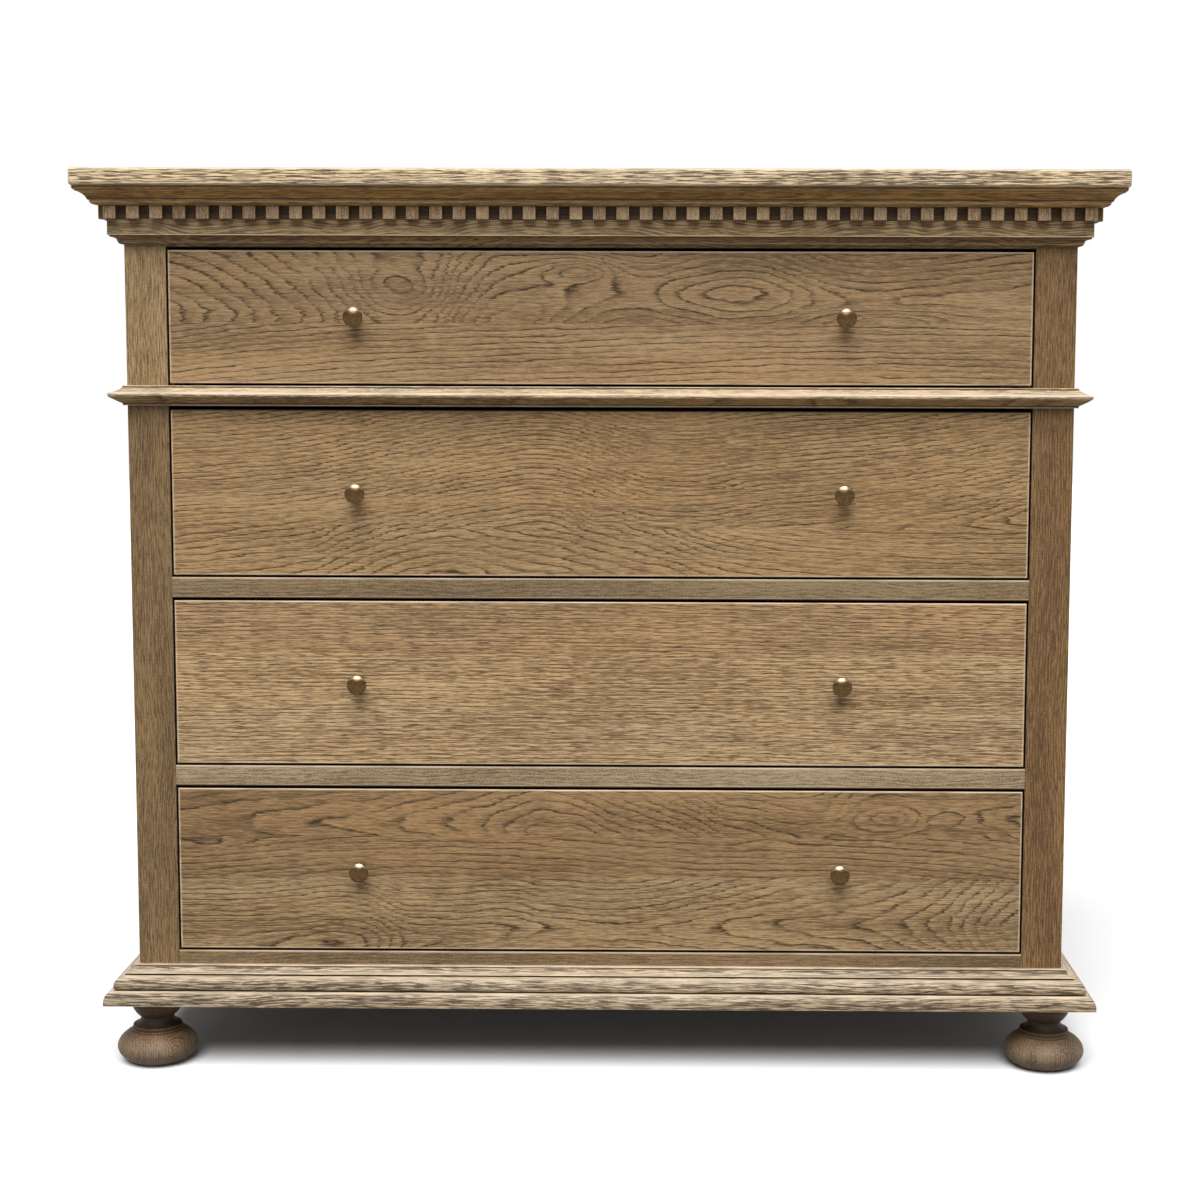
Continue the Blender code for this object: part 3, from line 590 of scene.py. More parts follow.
add_board(
    3, joint=0.498, depth=0.001, tint=(0.86, 0.80, 0.77),
    heart=[(-0.5, 0.42), (0, 0.425), (0.5, 0.415)],
    reach=[(-0.5, 0.0046), (0.5, 0.0046)],
    swell=[(-0.5, 0), (0.5, 1)],
)
add_board(
    3, joint=0.424, depth=0.001,
    heart=[(-0.5, 0.36), (0.5, 0.35)],
    reach=[(-0.5, 0.0044), (0.5, 0.0048)],
)
add_board(
    3, depth=0.001, tint=(0.96, 0.97, 1.01),
    heart=[(-0.5, 0.27), (0, 0.28), (0.5, 0.272)],
    reach=[(-0.5, 0.0050), (0.5, 0.0046)],
)
add_board(
    4, joint=0.279, tint=(0.98, 0.92, 0.86),
    heart=[
        (-0.5, 0.298), (-0.32, 0.294), (-0.18, 0.295), (-0.1, 0.29), (-0.05, 0.284), (0.04, 0.27), (0.2, 0.27),
        (0.3, 0.3), (0.5, 0.3),
    ],
    reach=[(-0.5, 0.012), (-0.15, 0.012), (0.05, 0.009), (0.2, 0.009), (0.5, 0.012)],
    swell=[
        (-0.5, 4.7), (-0.43, 4), (-0.318, 3), (-0.233, 2), (-0.178, 1), (-0.138, 0), (-0.107, -1), (-0.052, -2.5),
        (0.02, -1.5), (0.085, 0), (0.12, 1.4), (0.146, 3), (0.184, 4), (0.205, 5), (0.26, 6.5), (0.33, 5.4),
        (0.4, 6.2), (0.5, 5),
    ],
    eyes=[(0.35, 0.303, 0.022, 0.01, -1.4), (0.41, 0.303, 0.03, 0.009, 1.6), (0.27, 0.31, 0.03, 0.012, 1.4)],
)
add_board(
    4, joint=0.230, depth=0.001, tint=(0.93, 0.87, 0.82),
    heart=[
        (-0.5, 0.180), (-0.4, 0.187), (-0.3, 0.197), (-0.23, 0.2), (-0.1, 0.198), (0, 0.192), (0.06, 0.187),
        (0.12, 0.184), (0.28, 0.185), (0.4, 0.18), (0.5, 0.17),
    ],
    reach=[(-0.5, 0.0078), (0, 0.0078), (0.5, 0.0072)],
    eyes=[(-0.46, 0.268, 0.04, 0.008, 1.2), (0.2, 0.279, 0.04, 0.01, -1.0)],
)
add_board(
    4, tint=(1.08, 1.12, 1.16),
    heart=[
        (-0.5, 0.150), (-0.32, 0.148), (-0.2, 0.155), (-0.1, 0.165), (0.05, 0.165), (0.22, 0.172), (0.45, 0.172),
        (0.5, 0.165),
    ],
    reach=[(-0.5, 0.0062), (-0.1, 0.0072), (0.15, 0.0085), (0.3, 0.013), (0.5, 0.016)],
    swell=[
        (-0.5, 1.6), (-0.40, 1.2), (-0.36, 0.6), (-0.32, 0), (-0.28, 1), (-0.26, 2.2), (-0.245, 3.3), (-0.23, 4.2),
        (-0.19, 5.0), (-0.1, 6), (-0.07, 7), (0.03, 7.6), (0.1, 6.6), (0.219, 5), (0.319, 4), (0.364, 3),
        (0.393, 2), (0.416, 1), (0.433, 0), (0.45, -1), (0.463, -2), (0.5, -4),
    ],
)
FRONT_STAINS = {1: (0.90, 0.86, 0.79), 2: (0.98, 0.92, 0.80), 3: (1.29, 1.28, 1.23), 4: (0.83, 0.80, 0.73)}
FRONT_LOOKS = {
    1: {"Streaks": 0.6, "Brushed": 0.35, "Specks": 0.25},
    2: {"Streaks": 0.8, "Brushed": 0.45, "Specks": 0.55},
    3: {"Streaks": 1.0, "Brushed": 0.65, "Specks": 0.9},
    4: {"Streaks": 0.8, "Brushed": 0.5, "Specks": 0.5},
}
oak_fronts = {}
for number, stain in FRONT_STAINS.items():
    look = {"Figure": 1.2, **FRONT_LOOKS[number], **stained(BROWN, *stain)}
    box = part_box(f"drawer_{number}_front")
    shaded = (0.0, 0.0016 if number == 2 else 0.0)
    oak_fronts[number] = figured_oak(f"oak_front_{number}", front_boards[number], box, shaded, **look)
print("figured fronts:", sorted(m.name for m in oak_fronts.values()))

# %% [markdown]
# ## Wood inside, and brass
# The drawer boxes are plain lighter oak, their bottoms and the back are plywood. The knobs are aged brass:
# a metal whose colour and roughness change in small patches, with a painted highlight on the upper rim.

# %% Plain woods and brass
LIGHT = palette((0.56, 0.43, 0.27), (0.40, 0.29, 0.165), (0.24, 0.165, 0.09))
PLY = palette((0.64, 0.52, 0.36), (0.50, 0.385, 0.245), (0.36, 0.265, 0.16))
inside_look = {"Figure": 0.5, "Streaks": 0.6, "bump": 0.15, **LIGHT}
ply_look = {"Figure": 0.4, "Streaks": 0.4, "bump": 0.10, **PLY}
oak_inside_y, oak_inside_x = (plain_oak(f"oak_inside_{way}", way, 0.006, 3.0, **inside_look) for way in "yx")
ply_x, ply_z = (plain_oak(f"ply_{way}", way, 0.012, 5.0, **ply_look) for way in "xz")


DULL, BRIGHT, HIGHLIGHT_BRASS = (0.066, 0.037, 0.013, 1), (0.108, 0.062, 0.022, 1), (0.18, 0.145, 0.10, 1)
brass_coat, coat_roughness = 0.12, 0.12


def make_brass():
    """Brown-green brass, duller and darker in patches, with a painted highlight, pale on the upper rim."""
    material, tree, shader = start_material("aged_brass")
    position = node(tree, "TexCoord", output=3)
    patches = node(tree, "TexNoise", {"Vector": position, "Scale": 260.0, "Detail": 4.0})
    spots = node(tree, "TexNoise", {"Vector": position, "Scale": 900.0, "Detail": 2.0})
    mixed = sums(tree, "MULTIPLY_ADD", centred(tree, spots), 0.5, patches)
    painted_highlight = node(tree, "Attribute", output=2, attribute_name="painted_highlight")
    colour = blend(tree, remap(tree, mixed, 0.35, 0.70), DULL, BRIGHT)
    tree.links.new(blend(tree, painted_highlight, colour, HIGHLIGHT_BRASS), shader["Base Color"])
    tree.links.new(remap(tree, mixed, 0.3, 0.7, 0.36, 0.26), shader["Roughness"])
    tree.links.new(node(tree, "Bump", {"Height": mixed, "Strength": 0.12, "Distance": 0.0004}), shader["Normal"])
    shader["Metallic"].default_value = 1.0
    shader["Coat Weight"].default_value = brass_coat
    shader["Coat Roughness"].default_value = coat_roughness
    return material


aged_brass = make_brass()
print("inside woods and brass ready")

# %% [markdown]
# ## From arrays to a mesh
# Every new piece is computed as whole numpy arrays: corner positions, and the faces as rows of corner numbers.
# One helper turns the arrays into a named object, closes its seams, and keeps hard edges hard.

# %% Mesh helper
def grid_faces(rows, columns):
    """Four-cornered faces of a grid of rows by columns of points, seen from the side where columns turn left."""
    i, j = np.meshgrid(np.arange(rows - 1), np.arange(columns - 1), indexing="ij")
    corner = (i * columns + j).ravel()
    return np.stack([corner, corner + columns, corner + columns + 1, corner + 1], axis=1)


merge_distance, shortest_edge = 2e-6, 1e-7
sharp_angle = math.radians(38)


def make_piece(name, points, faces, material, body, replaced, edge, caps=(), tone=None, painted_highlight=None):
    """A closed object from arrays. Points at one place are merged; the edge value goes with each point."""
    mesh = bpy.data.meshes.new(name)
    mesh.from_pydata(points.tolist(), [], faces.tolist() + [list(cap) for cap in caps])
    for key, values in (("edge", edge), ("tone", tone), ("painted_highlight", painted_highlight)):
        if values is not None:
            mesh.attributes.new(key, "FLOAT", "POINT").data.foreach_set("value", values)
    bm = bmesh.new()
    bm.from_mesh(mesh)
    bmesh.ops.remove_doubles(bm, verts=bm.verts, dist=merge_distance)
    bmesh.ops.dissolve_degenerate(bm, edges=bm.edges, dist=shortest_edge)
    bmesh.ops.recalc_face_normals(bm, faces=bm.faces)
    bm.to_mesh(mesh)
    bm.free()
    mesh.shade_smooth()
    mesh.set_sharp_from_angle(angle=sharp_angle)
    mesh.materials.append(material)
    obj = add_object(name, mesh)
    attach(obj, body)
    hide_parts(*replaced)
    return obj


print("mesh helper ready")

# %% [markdown]
# ## The top
# A solid board is never quite sharp. An eased board is a box whose points are pulled onto a
# smaller box inside it and pushed out again by the easing's radius, so flats stay flat and corners turn round.

# %% Eased boards
def eased_ticks(low, high, radius, steps=3):
    """Places along one side: close together at both ends, where the corner turns, and one long stretch between."""
    turn = radius * (1 - np.tan(np.linspace(np.pi / 4, 0, steps + 1)))
    end = np.append(turn, 2 * radius)
    return np.concatenate([low + end, (high - end)[::-1]])


def eased_board(low, high, radius, rubbed=0.27):
    """Points p = q' + radius * (q - q') / |q - q'|: q is on the box and q' the nearest point of the inner box.
    The edge value is (1 - tilt) / rubbed, where the tilt is 1 on a flat side and least at a corner."""
    low, high = np.array(low, float), np.array(high, float)
    ticks = [eased_ticks(low[k], high[k], radius) for k in range(3)]
    points, faces, count = [], [], 0
    for k in range(3):
        a, b = (k + 1) % 3, (k + 2) % 3
        for side, level in ((-1, low[k]), (1, high[k])):
            u, v = np.meshgrid(ticks[a], ticks[b], indexing="ij")
            q = np.empty(u.shape + (3,))
            q[..., a], q[..., b], q[..., k] = u, v, level
            inner = np.clip(q, low + radius, high - radius)
            out = q - inner
            p = inner + radius * out / np.linalg.norm(out, axis=-1, keepdims=True)
            grid = grid_faces(*u.shape) + count
            points.append(p.reshape(-1, 3))
            faces.append(grid if side > 0 else grid[:, ::-1])
            count += u.size
    points, faces = np.concatenate(points), np.concatenate(faces)
    inner = np.clip(points, low + radius, high - radius)
    tilt = np.abs(points - inner).max(axis=1) / radius
    return points, faces, np.clip((1 - tilt) / rubbed, 0, 1)


high = np.array([slab_half_width, slab_half_depth, slab_z + slab_thickness])
points, faces, edge = eased_board((-high[0], -high[1], slab_z), high, slab_easing)
top_slab = make_piece("top_slab_board", points, faces, oak_slab, "carcass", ["top_slab"], edge)
print("top:", len(top_slab.data.polygons), "faces")

# %% [markdown]
# ## Mouldings
# A moulding is one outline carried along three sides of the case and cut at 45 degrees at the front corners.
# A straight run between two cuts is ruled: each point of the outline draws a line whose ends lie further out
# the further the point stands out.

# %% Outlines
def arc(centre, radii, start, end, steps=16):
    """Points centre + radii * (cos, sin) between two angles in degrees."""
    angles = np.radians(np.linspace(start, end, steps + 1))
    return [(centre[0] + radii[0] * math.cos(a), centre[1] + radii[1] * math.sin(a)) for a in angles]


def bend(first, pull, last, steps=16):
    """Points on the quadratic curve (1 - t)^2 first + 2t(1 - t) pull + t^2 last."""
    t = np.linspace(0, 1, steps + 1)[:, None]
    first, pull, last = (np.array(p) for p in (first, pull, last))
    return [tuple(p) for p in (1 - t) ** 2 * first + 2 * t * (1 - t) * pull + t**2 * last]


def scaled(points, projection, height, out=0.0):
    """An outline drawn in a unit square at its real size."""
    return [(out + x * projection, z * height) for x, z in points]


def plinth_outline(projection=0.036, height=plinth_height):
    """A large and a middle ovolo, a quirk, a cavetto and a small nosing, from the floor side up."""
    drawn = [
        (1.0, 0.0),
        *arc((0.778, 0.07), (0.222, 0.298), 0, 90),
        (0.640, 0.368),
        (0.640, 0.409),
        *arc((0.411, 0.50), (0.306, 0.244), -22, 90),
        (0.400, 0.746),
        (0.330, 0.748),
        (0.330, 0.784),
        (0.405, 0.789),
        (0.400, 0.812),
        *arc((0.383, 0.94), (0.233, 0.128), 270, 180),
        (0.120, 0.945),
        (0.120, 0.965),
        (0.172, 0.970),
        (0.165, 1.0),
    ]
    return [(fit_gap, 0), *scaled(drawn, projection, height), (fit_gap, height)]


def waist_outline(projection=0.0187, height=waist_height, fillet=0.0045, lowest=0.0010):
    """A nose between two hollow slopes, with a fillet above and below."""
    nose = scaled(arc((0.855, 0.555), (0.145, 0.125), -70, 100), projection, height)
    under = bend((fillet, 0.13 * height), (0.60 * projection, 0.28 * height), nose[0])
    over = bend(nose[-1], (0.48 * projection, 0.74 * height), (fillet, 0.92 * height))
    return [(fit_gap, lowest), (fillet, lowest), *under, *nose[1:-1], *over, (fillet, height), (fit_gap, height)]


def frieze_outline(projection=frieze_projection, lowest=0.0026, moulded=0.013, height=frieze_height):
    """A small ogee and an arris under a plain face."""
    ogee = [
        *arc((0.07, 0.31), (0.31, 0.31), -90, 0),
        *arc((0.83, 0.40), (0.41, 0.38), 180, 90),
        (0.86, 0.80),
        (0.86, 0.90),
        (1.0, 0.98),
    ]
    ogee = [(x, z + lowest) for x, z in scaled(ogee, projection, moulded - lowest)]
    return [(fit_gap, lowest), *ogee, (projection, height), (fit_gap, height)]


def crown_outline(foot=frieze_projection + dentil_depth, spread=0.0217, height=crown_height - fit_gap):
    """Ovolo, fillet, cavetto and bead, hollowed behind for the dentils' spine."""
    drawn = [
        *bend((0.0, 0.0), (0.24, 0.02), (0.27, 0.20), 8),
        (0.27, 0.25),
        (0.37, 0.28),
        *bend((0.37, 0.33), (0.50, 0.62), (0.88, 0.74)),
        (0.88, 0.79),
        *bend((0.92, 0.79), (1.0, 0.82), (1.0, 0.99), 8),
    ]
    member = scaled(drawn, spread, height, foot)
    back = frieze_projection + fit_gap
    deep, high = back + 0.0048, 0.0063
    return [(deep, 0), *member, (foot + spread, height), (back, height), (back, high), (deep, high)]


print("outlines drawn")

# %% Worn outlines
def evenly(corners, nexts, step):
    """Points at even steps from each corner to the next one: corner + t * (next - corner)."""
    lengths = np.linalg.norm(nexts - corners, axis=1)
    keep = lengths > 1e-7
    corners, nexts, lengths = corners[keep], nexts[keep], lengths[keep]
    counts = np.maximum(1, np.round(lengths / step)).astype(int)
    which = np.repeat(np.arange(len(corners)), counts)
    first = np.repeat(np.cumsum(counts) - counts, counts)
    t = (np.arange(len(which)) - first) / counts[which]
    return corners[which] + t[:, None] * (nexts - corners)[which]


def sharpness(before, after, smooth, more=14):
    """0 where a line turns by less than smooth degrees, 1 at so many degrees more, and below 0 in inner turns."""
    cross = before[:, 0] * after[:, 1] - before[:, 1] * after[:, 0]
    turn = np.arctan2(cross, (before * after).sum(axis=1))
    return np.sign(turn) * np.clip((np.abs(np.degrees(turn)) - smooth) / more, 0, 1)


def worn_outline(outline, step=0.0004, shade_below=0.55, light_above=0.45):
    """The closed outline resampled at even steps and averaged with its neighbours, and the edge value at each
    point: above 0 where it turns sharply outwards (a rubbed arris) or faces up (painted light), below 0 in inner
    corners and where it faces down (painted shade)."""
    corners = np.array(outline, float)
    points = evenly(corners, np.roll(corners, -1, axis=0), step)
    points = (np.roll(points, 1, axis=0) + 2 * points + np.roll(points, -1, axis=0)) / 4
    before, after = points - np.roll(points, 1, axis=0), np.roll(points, -1, axis=0) - points
    sharp = sharpness(before, after, 6)
    way = (before + after) / np.linalg.norm(before + after, axis=1, keepdims=True)
    sharp = (np.roll(sharp, 1) + 2 * sharp + np.roll(sharp, -1)) / 4
    return points, sharp - shade_below * np.clip(way[:, 0], 0, 1) + light_above * np.clip(-way[:, 0], 0, 1) ** 2


def moulding_run(outline, lines, start, end, z, rows=9):
    """Points a + s * (b - a): a and b are where a point of the outline meets the two ends of the run.
    An end is a corner of the case and the way it leans per metre that the outline stands out.
    A line (out, up, weight, mm) adds weight * exp(-(distance / mm)^2) to the edge value: a painted highlight
    above 0 and painted shade below."""
    profile, sharp = worn_outline(outline)
    out, up = profile[:, 0], profile[:, 1]
    for x, y, weight, wide in lines:
        sharp = sharp + weight * np.exp(-((out - x) ** 2 + (up - y) ** 2) / (wide / 1000) ** 2)
    ends = []
    for corner, lean in (start, end):
        ends.append(np.stack([corner[0] + out * lean[0], corner[1] + out * lean[1], z + up], axis=1))
    s = np.linspace(0, 1, rows)[:, None, None]
    points = ends[0][None] + s * (ends[1] - ends[0])[None]
    columns = points.shape[1]
    closed = np.concatenate([points, points[:, :1]], axis=1)
    faces = grid_faces(rows, columns + 1)
    last = (rows - 1) * (columns + 1)
    caps = (range(columns), range(last + columns - 1, last - 1, -1))
    return closed.reshape(-1, 3), faces, np.tile(np.append(sharp, sharp[0]), rows), caps


# Painted light on the mouldings: positive weights are painted highlights on noses, lips and arrises, negative ones
# painted shade in quirks, under lips and on the lower ovolo.
LINES = {
    "plinth": [
        (0.0045, 0.0411, -1.3, 1.0), (0.0062, 0.0425, 0.9, 1.0),
        (0.0119, 0.0329, -1.1, 1.4), (0.0139, 0.0323, -0.8, 0.8), (0.0145, 0.0347, 1.1, 0.8),
        (0.0232, 0.0167, -1.6, 1.5), (0.0360, 0.0040, -0.18, 6.0),
        (0.0180, 0.0288, 0.40, 2.5), (0.0280, 0.0152, 0.45, 2.5),
    ],
    "waist": [
        (0.0048, 0.0222, -1.2, 0.9), (0.0045, 0.0240, 0.5, 0.8), (0.0170, 0.0158, 0.9, 1.4),
        (0.0045, 0.0034, -0.9, 0.9), (0.0045, 0.0014, 0.9, 0.8),
    ],
    "frieze": [(0.0155, 0.0130, 0.7, 0.8), (0.0133, 0.0112, -1.0, 0.8), (0.0061, 0.0055, 0.8, 0.8)],
    "crown": [
        (0.0470, 0.0195, -1.2, 1.5), (0.0464, 0.0168, -0.6, 1.2), (0.0336, 0.0066, -1.2, 1.0),
        (0.0312, 0.0045, 0.9, 1.0), (0.0262, 0.0004, 0.6, 0.8),
    ],
}
mitre = fit_gap * math.sqrt(0.5)
RUNS = {
    "left": (((-half_width, back_y), (-1, 0)), ((-half_width, front_y + mitre), (-1, -1))),
    "front": (((-half_width + mitre, front_y), (-1, -1)), ((half_width - mitre, front_y), (1, -1))),
    "right": (((half_width, front_y + mitre), (1, -1)), ((half_width, back_y), (1, 0))),
}


def joined(*shapes):
    """Several shapes' arrays as one."""
    points, faces, edges, caps, count = [], [], [], [], 0
    for p, f, e, c in shapes:
        points.append(p)
        faces.append(f + count)
        edges.append(e)
        caps += [[i + count for i in cap] for cap in c]
        count += len(p)
    return np.concatenate(points), np.concatenate(faces), np.concatenate(edges), caps


def rail_between_stiles(z, height, thickness=0.022, inset=0.0001, easing=0.0004, painted_shade=0.0006):
    """The part of a front moulding that runs back between the stiles as a rail, with painted shade underneath."""
    x = opening_half - fit_gap
    low, high = (-x, front_y - fit_gap, z + inset), (x, front_y + thickness, z + height - inset)
    points, faces, edge = eased_board(low, high, easing)
    # Painted shade along the rail's underside.
    return points, faces, np.where(points[:, 2] < z + painted_shade, -1.0, edge), ()


def add_moulding(name, outline, z, front_oak, side_oak, rail=None):
    """Three runs of one moulding. The front one of the waist and the frieze is also a rail."""
    for side, (start, end) in RUNS.items():
        shape = moulding_run(outline, LINES[name], start, end, z)
        if side == "front" and rail:
            shape = joined(shape, rail_between_stiles(z, rail))
        points, faces, edge, caps = shape
        if name == "frieze":
            # Painted shade on the frieze's top, in the recess behind the dentils.
            edge = np.where(points[:, 2] > recess_z - fit_gap, -0.9, edge)
        material = front_oak if side == "front" else side_oak
        obj = make_piece(f"{name}_{side}_run", points, faces, material, "carcass", [f"{name}_{side}"], edge, caps)
        print(obj.name, len(obj.data.polygons), "faces")


add_moulding("plinth", plinth_outline(), plinth_z, oak_plinth, oak_plinth_side)
add_moulding("waist", waist_outline(), waist_z, oak_waist, oak_side_moulding, waist_height)
add_moulding("frieze", frieze_outline(), frieze_z, oak_frieze, oak_side_moulding, frieze_height)
add_moulding("crown", crown_outline(), crown_z, oak_crown, oak_side_moulding)

# %% [markdown]
# ## Dentils
# A row of small blocks stands under the crown. One eased block is computed once and repeated by adding a
# row of offsets to it. Each block gets a tone of its own, because they were cut from different sticks.

# %% Dentils
block_easing, spine_easing, row_overhang = 0.0007, 0.0004, 0.0018
spine_depth, spine_low, spine_high = 0.0045, 0.001, 0.006
side_shade_from = 0.0012 - dentil_depth


def dentil_row(length, turn, place):
    """Every block = one eased block + its offset along the row; a thin spine joins them behind the crown."""
    count = round((length - dentil_width) / dentil_pitch) + 1
    offsets = -length / 2 + np.arange(count) * (length - dentil_width) / (count - 1)
    low, high = (0, fit_gap - dentil_depth, -dentil_height), (dentil_width, 0, -fit_gap)
    block, faces, edge = eased_board(low, high, block_easing)
    # Painted shade on each block's sides, top and underside; the front face keeps its rubbed arrises.
    edge = np.where(block[:, 1] > side_shade_from, -0.75, 0.9 * edge)
    points = (block[None] + offsets[:, None, None] * np.array([1.0, 0, 0])).reshape(-1, 3)
    faces = (faces[None] + (np.arange(count) * len(block))[:, None, None]).reshape(-1, 4)
    tones = np.repeat(np.random.default_rng(11).uniform(0, 1, count), len(block))
    spine = eased_board((-length / 2, -spine_depth, spine_low), (length / 2, 0, spine_high), spine_easing)
    faces = np.concatenate([faces, spine[1] + len(points)])
    tones = np.append(tones, np.full(len(spine[0]), 0.5))
    edges = np.concatenate([np.tile(edge, count), spine[2]])
    points = np.concatenate([points, spine[0]])
    c, s = math.cos(turn), math.sin(turn)
    turned = points @ np.array([[c, s, 0], [-s, c, 0], [0, 0, 1]]) + np.array(place)
    return turned, faces, edges, tones


def dentil_oak():
    """Blocks of slightly different browns; the tone comes with each block."""
    material, tree, shader, _, vector = start_oak("oak_dentil", "z")
    tone = node(tree, "Attribute", output=2, attribute_name="tone")
    tone = sums(tree, "MULTIPLY_ADD", tone, 0.3, 0.38)
    rings = grouped(tree, plain_rings, {"Vector": vector, "Spacing": 0.003, "Wander": 2.0})["Rings"]
    look = {"Figure": 0.2, "Streaks": 0.2, "Fibres": 0.7, "Speckle": 2.4, "Glints": 0.2, "Specks": 0.3}
    finish_oak(tree, shader, vector, rings, {"Tone": tone, **look, **stained(BROWN, 1.12, 1.12, 1.14)})
    return material


oak_dentil = dentil_oak()
behind = frieze_projection + fit_gap
row_length = 2 * (half_width + frieze_projection + row_overhang)
side_start = front_y - frieze_projection
ROWS = {
    "front": (row_length, 0.0, (0, front_y - behind, crown_z)),
    "left": (back_y - side_start, -math.pi / 2, (-half_width - behind, (side_start + back_y) / 2, crown_z)),
    "right": (back_y - side_start, math.pi / 2, (half_width + behind, (side_start + back_y) / 2, crown_z)),
}
for side, (length, turn, place) in ROWS.items():
    points, faces, edge, tones = dentil_row(length, turn, place)
    name = f"dentil_{side}"
    row = make_piece(f"{name}_row", points, faces, oak_dentil, "carcass", [name], edge, tone=tones)
    print(row.name, len(row.data.polygons), "faces")

# %% [markdown]
# ## Turned pieces
# A lathe turns a profile about an axis: every point of the profile draws a circle. Feet and knobs are both
# made this way, the feet about an upright axis and the knobs about one that faces forwards.

# %% Turned feet
def turned_shape(profile, centre, upright=True, around=96, step=0.0006):
    """Points centre + (r cos a, r sin a, h), with the profile (r, h) resampled and softened as on the mouldings."""
    corners = np.array(profile, float)
    points = np.concatenate([evenly(corners[:-1], corners[1:], step), corners[-1:]])
    points[1:-1] = (points[:-2] + 2 * points[1:-1] + points[2:]) / 4
    sharp = np.pad(-sharpness(points[1:-1] - points[:-2], points[2:] - points[1:-1], 8), 1)
    angles = np.linspace(0, 2 * np.pi, around + 1)[:, None]
    angles[-1] = 0
    across, side = points[:, 0] * np.cos(angles), points[:, 0] * np.sin(angles)
    up = np.broadcast_to(points[:, 1], across.shape)
    shape = np.stack([across, side, up] if upright else [across, -up, side], axis=-1) + np.array(centre)
    return shape.reshape(-1, 3), grid_faces(*across.shape), np.tile(sharp, around + 1)


def foot_profile():
    """Spigot, tapered top disc, cove, collar, fillet and bun, from the spigot's top to the sole."""
    neck_radius, bun_radius, sole_radius = 0.0303, 0.0475, 0.028
    neck_z, bun_z, sole_drop = -0.0412, -0.0605, 0.0195
    start, sole = math.acos(neck_radius / bun_radius), math.acos(sole_radius / bun_radius)
    upper, lower = (neck_z - bun_z) / math.sin(start), sole_drop / math.sin(sole)
    return [
        (0, 0.014), (0.011, 0.014), (0.011, -0.0003), (0.030, -0.0003),
        *bend((0.030, -0.011), (0.0262, -0.0205), (0.0206, -0.0243)),
        *arc((0.0288, -0.0263), (0.0091, 0.0088), 172, 270),
        (0.0288, -0.0388),
        (neck_radius, -0.0392),
        *arc((0, bun_z), (bun_radius, upper), math.degrees(start), 0, 24),
        *arc((0, bun_z), (bun_radius, lower), -2, -math.degrees(sole), 24),
        (0, -plinth_z),
    ]


def foot_oak(name, planks, spacing=0.0033):
    """Rings = distance from a plank's heart, seen from the front, / spacing. Each plank is (how far to the right
    it starts, the heart's x and z, and how much the height counts), so a heart far to one side gives upright
    lines."""
    material, tree, shader, position, vector = start_oak(name, "z")
    rings = 0.0
    for starts, x, z, counts in planks:
        seen = vectors(tree, "MULTIPLY", position, (1, 0, counts))
        layers = vectors(tree, "DISTANCE", seen, (x, 0, z * counts), output=1)
        here = sums(tree, "GREATER_THAN", axes(tree, position)["X"], starts)
        rings = choose(tree, here, rings, sums(tree, "DIVIDE", layers, spacing))
    rings = sums(tree, "MULTIPLY_ADD", noise(tree, position, (50, 50, 50), 2.0), 2.4, rings)
    look = {"Figure": 0.9, "Streaks": 0.5, "Fibres": 1.2, "Specks": 0.1, "rubbed": 0.30, **FOOT}
    finish_oak(tree, shader, vector, rings, look)
    return material


FOOT = palette((0.25, 0.174, 0.108), (0.080, 0.053, 0.032), (0.024, 0.015, 0.008))
oak_feet = {
    "left": foot_oak("oak_foot_left", [(-9, -0.568, 0.024, 0.9), (-0.516, -0.506, 0.025, 1.0)]),
    "right": foot_oak("oak_foot_right", [(-9, 0.4930, 0.028, 1.1), (0.517, 0.60, 0.02, 0.1)]),
}
collar_z, cove_z, shoulder_z = plinth_z - 0.0405, plinth_z - 0.018, plinth_z - 0.058
collar_fade, shoulder_fade = 0.0012, 0.018


def foot_shade(edge, z, neck_shade=0.5, cove_shade=0.12, shoulder_shade=0.35):
    """Painted shade: the neck above the collar is dark, darkest below the disc, and the bun darkens towards its
    shoulder.
    """
    neck = np.clip((z - collar_z) / collar_fade, 0, 1) * (neck_shade + cove_shade * (z < cove_z))
    shoulder = shoulder_shade * np.clip((z - shoulder_z) / shoulder_fade, 0, 1)
    return np.minimum(edge, 1 - neck) - neck - shoulder


for row, y in (("front", foot_front_y), ("rear", foot_rear_y)):
    for side, x in (("left", -foot_x), ("right", foot_x)):
        points, faces, edge = turned_shape(foot_profile(), (x, y, plinth_z))
        edge = foot_shade(edge, points[:, 2])
        name = f"foot_{row}_{side}"
        foot = make_piece(f"{name}_bun", points, faces, oak_feet[side], "carcass", [name], edge)
print("feet:", len(foot.data.polygons), "faces each")

# %% Brass knobs
def knob_profile():
    """Low dome that turns over quickly at the rim, waisted neck and collar, then the screw behind the front."""
    return [
        *bend((0, 0.0238), (0.0062, 0.0238), (0.0109, 0.0200)),
        *arc((0.0103, 0.0190), (0.0012, 0.0012), 50, -30, 8),
        *bend((0.0105, 0.0175), (0.0042, 0.01462), (0.0042, 0.0085)),
        (0.0068, 0.0023), (0.0068, 0.0003), (0.002, 0.0003),
        (0.002, -0.0223), (0.0045, -0.0223), (0.0036, -0.0248), (0, -0.0248),
    ]


def painted_rim(points, radius=knob_radius, head=-0.0172):
    """1 on the head's upper part, the painted highlight: beyond a circle of 1.46 radii centred 0.82 radii below."""
    away = np.hypot(points[:, 0], points[:, 2] + 0.82 * radius) / radius
    return np.clip((away - 1.46) / 0.06, 0, 1) * (points[:, 1] < head)


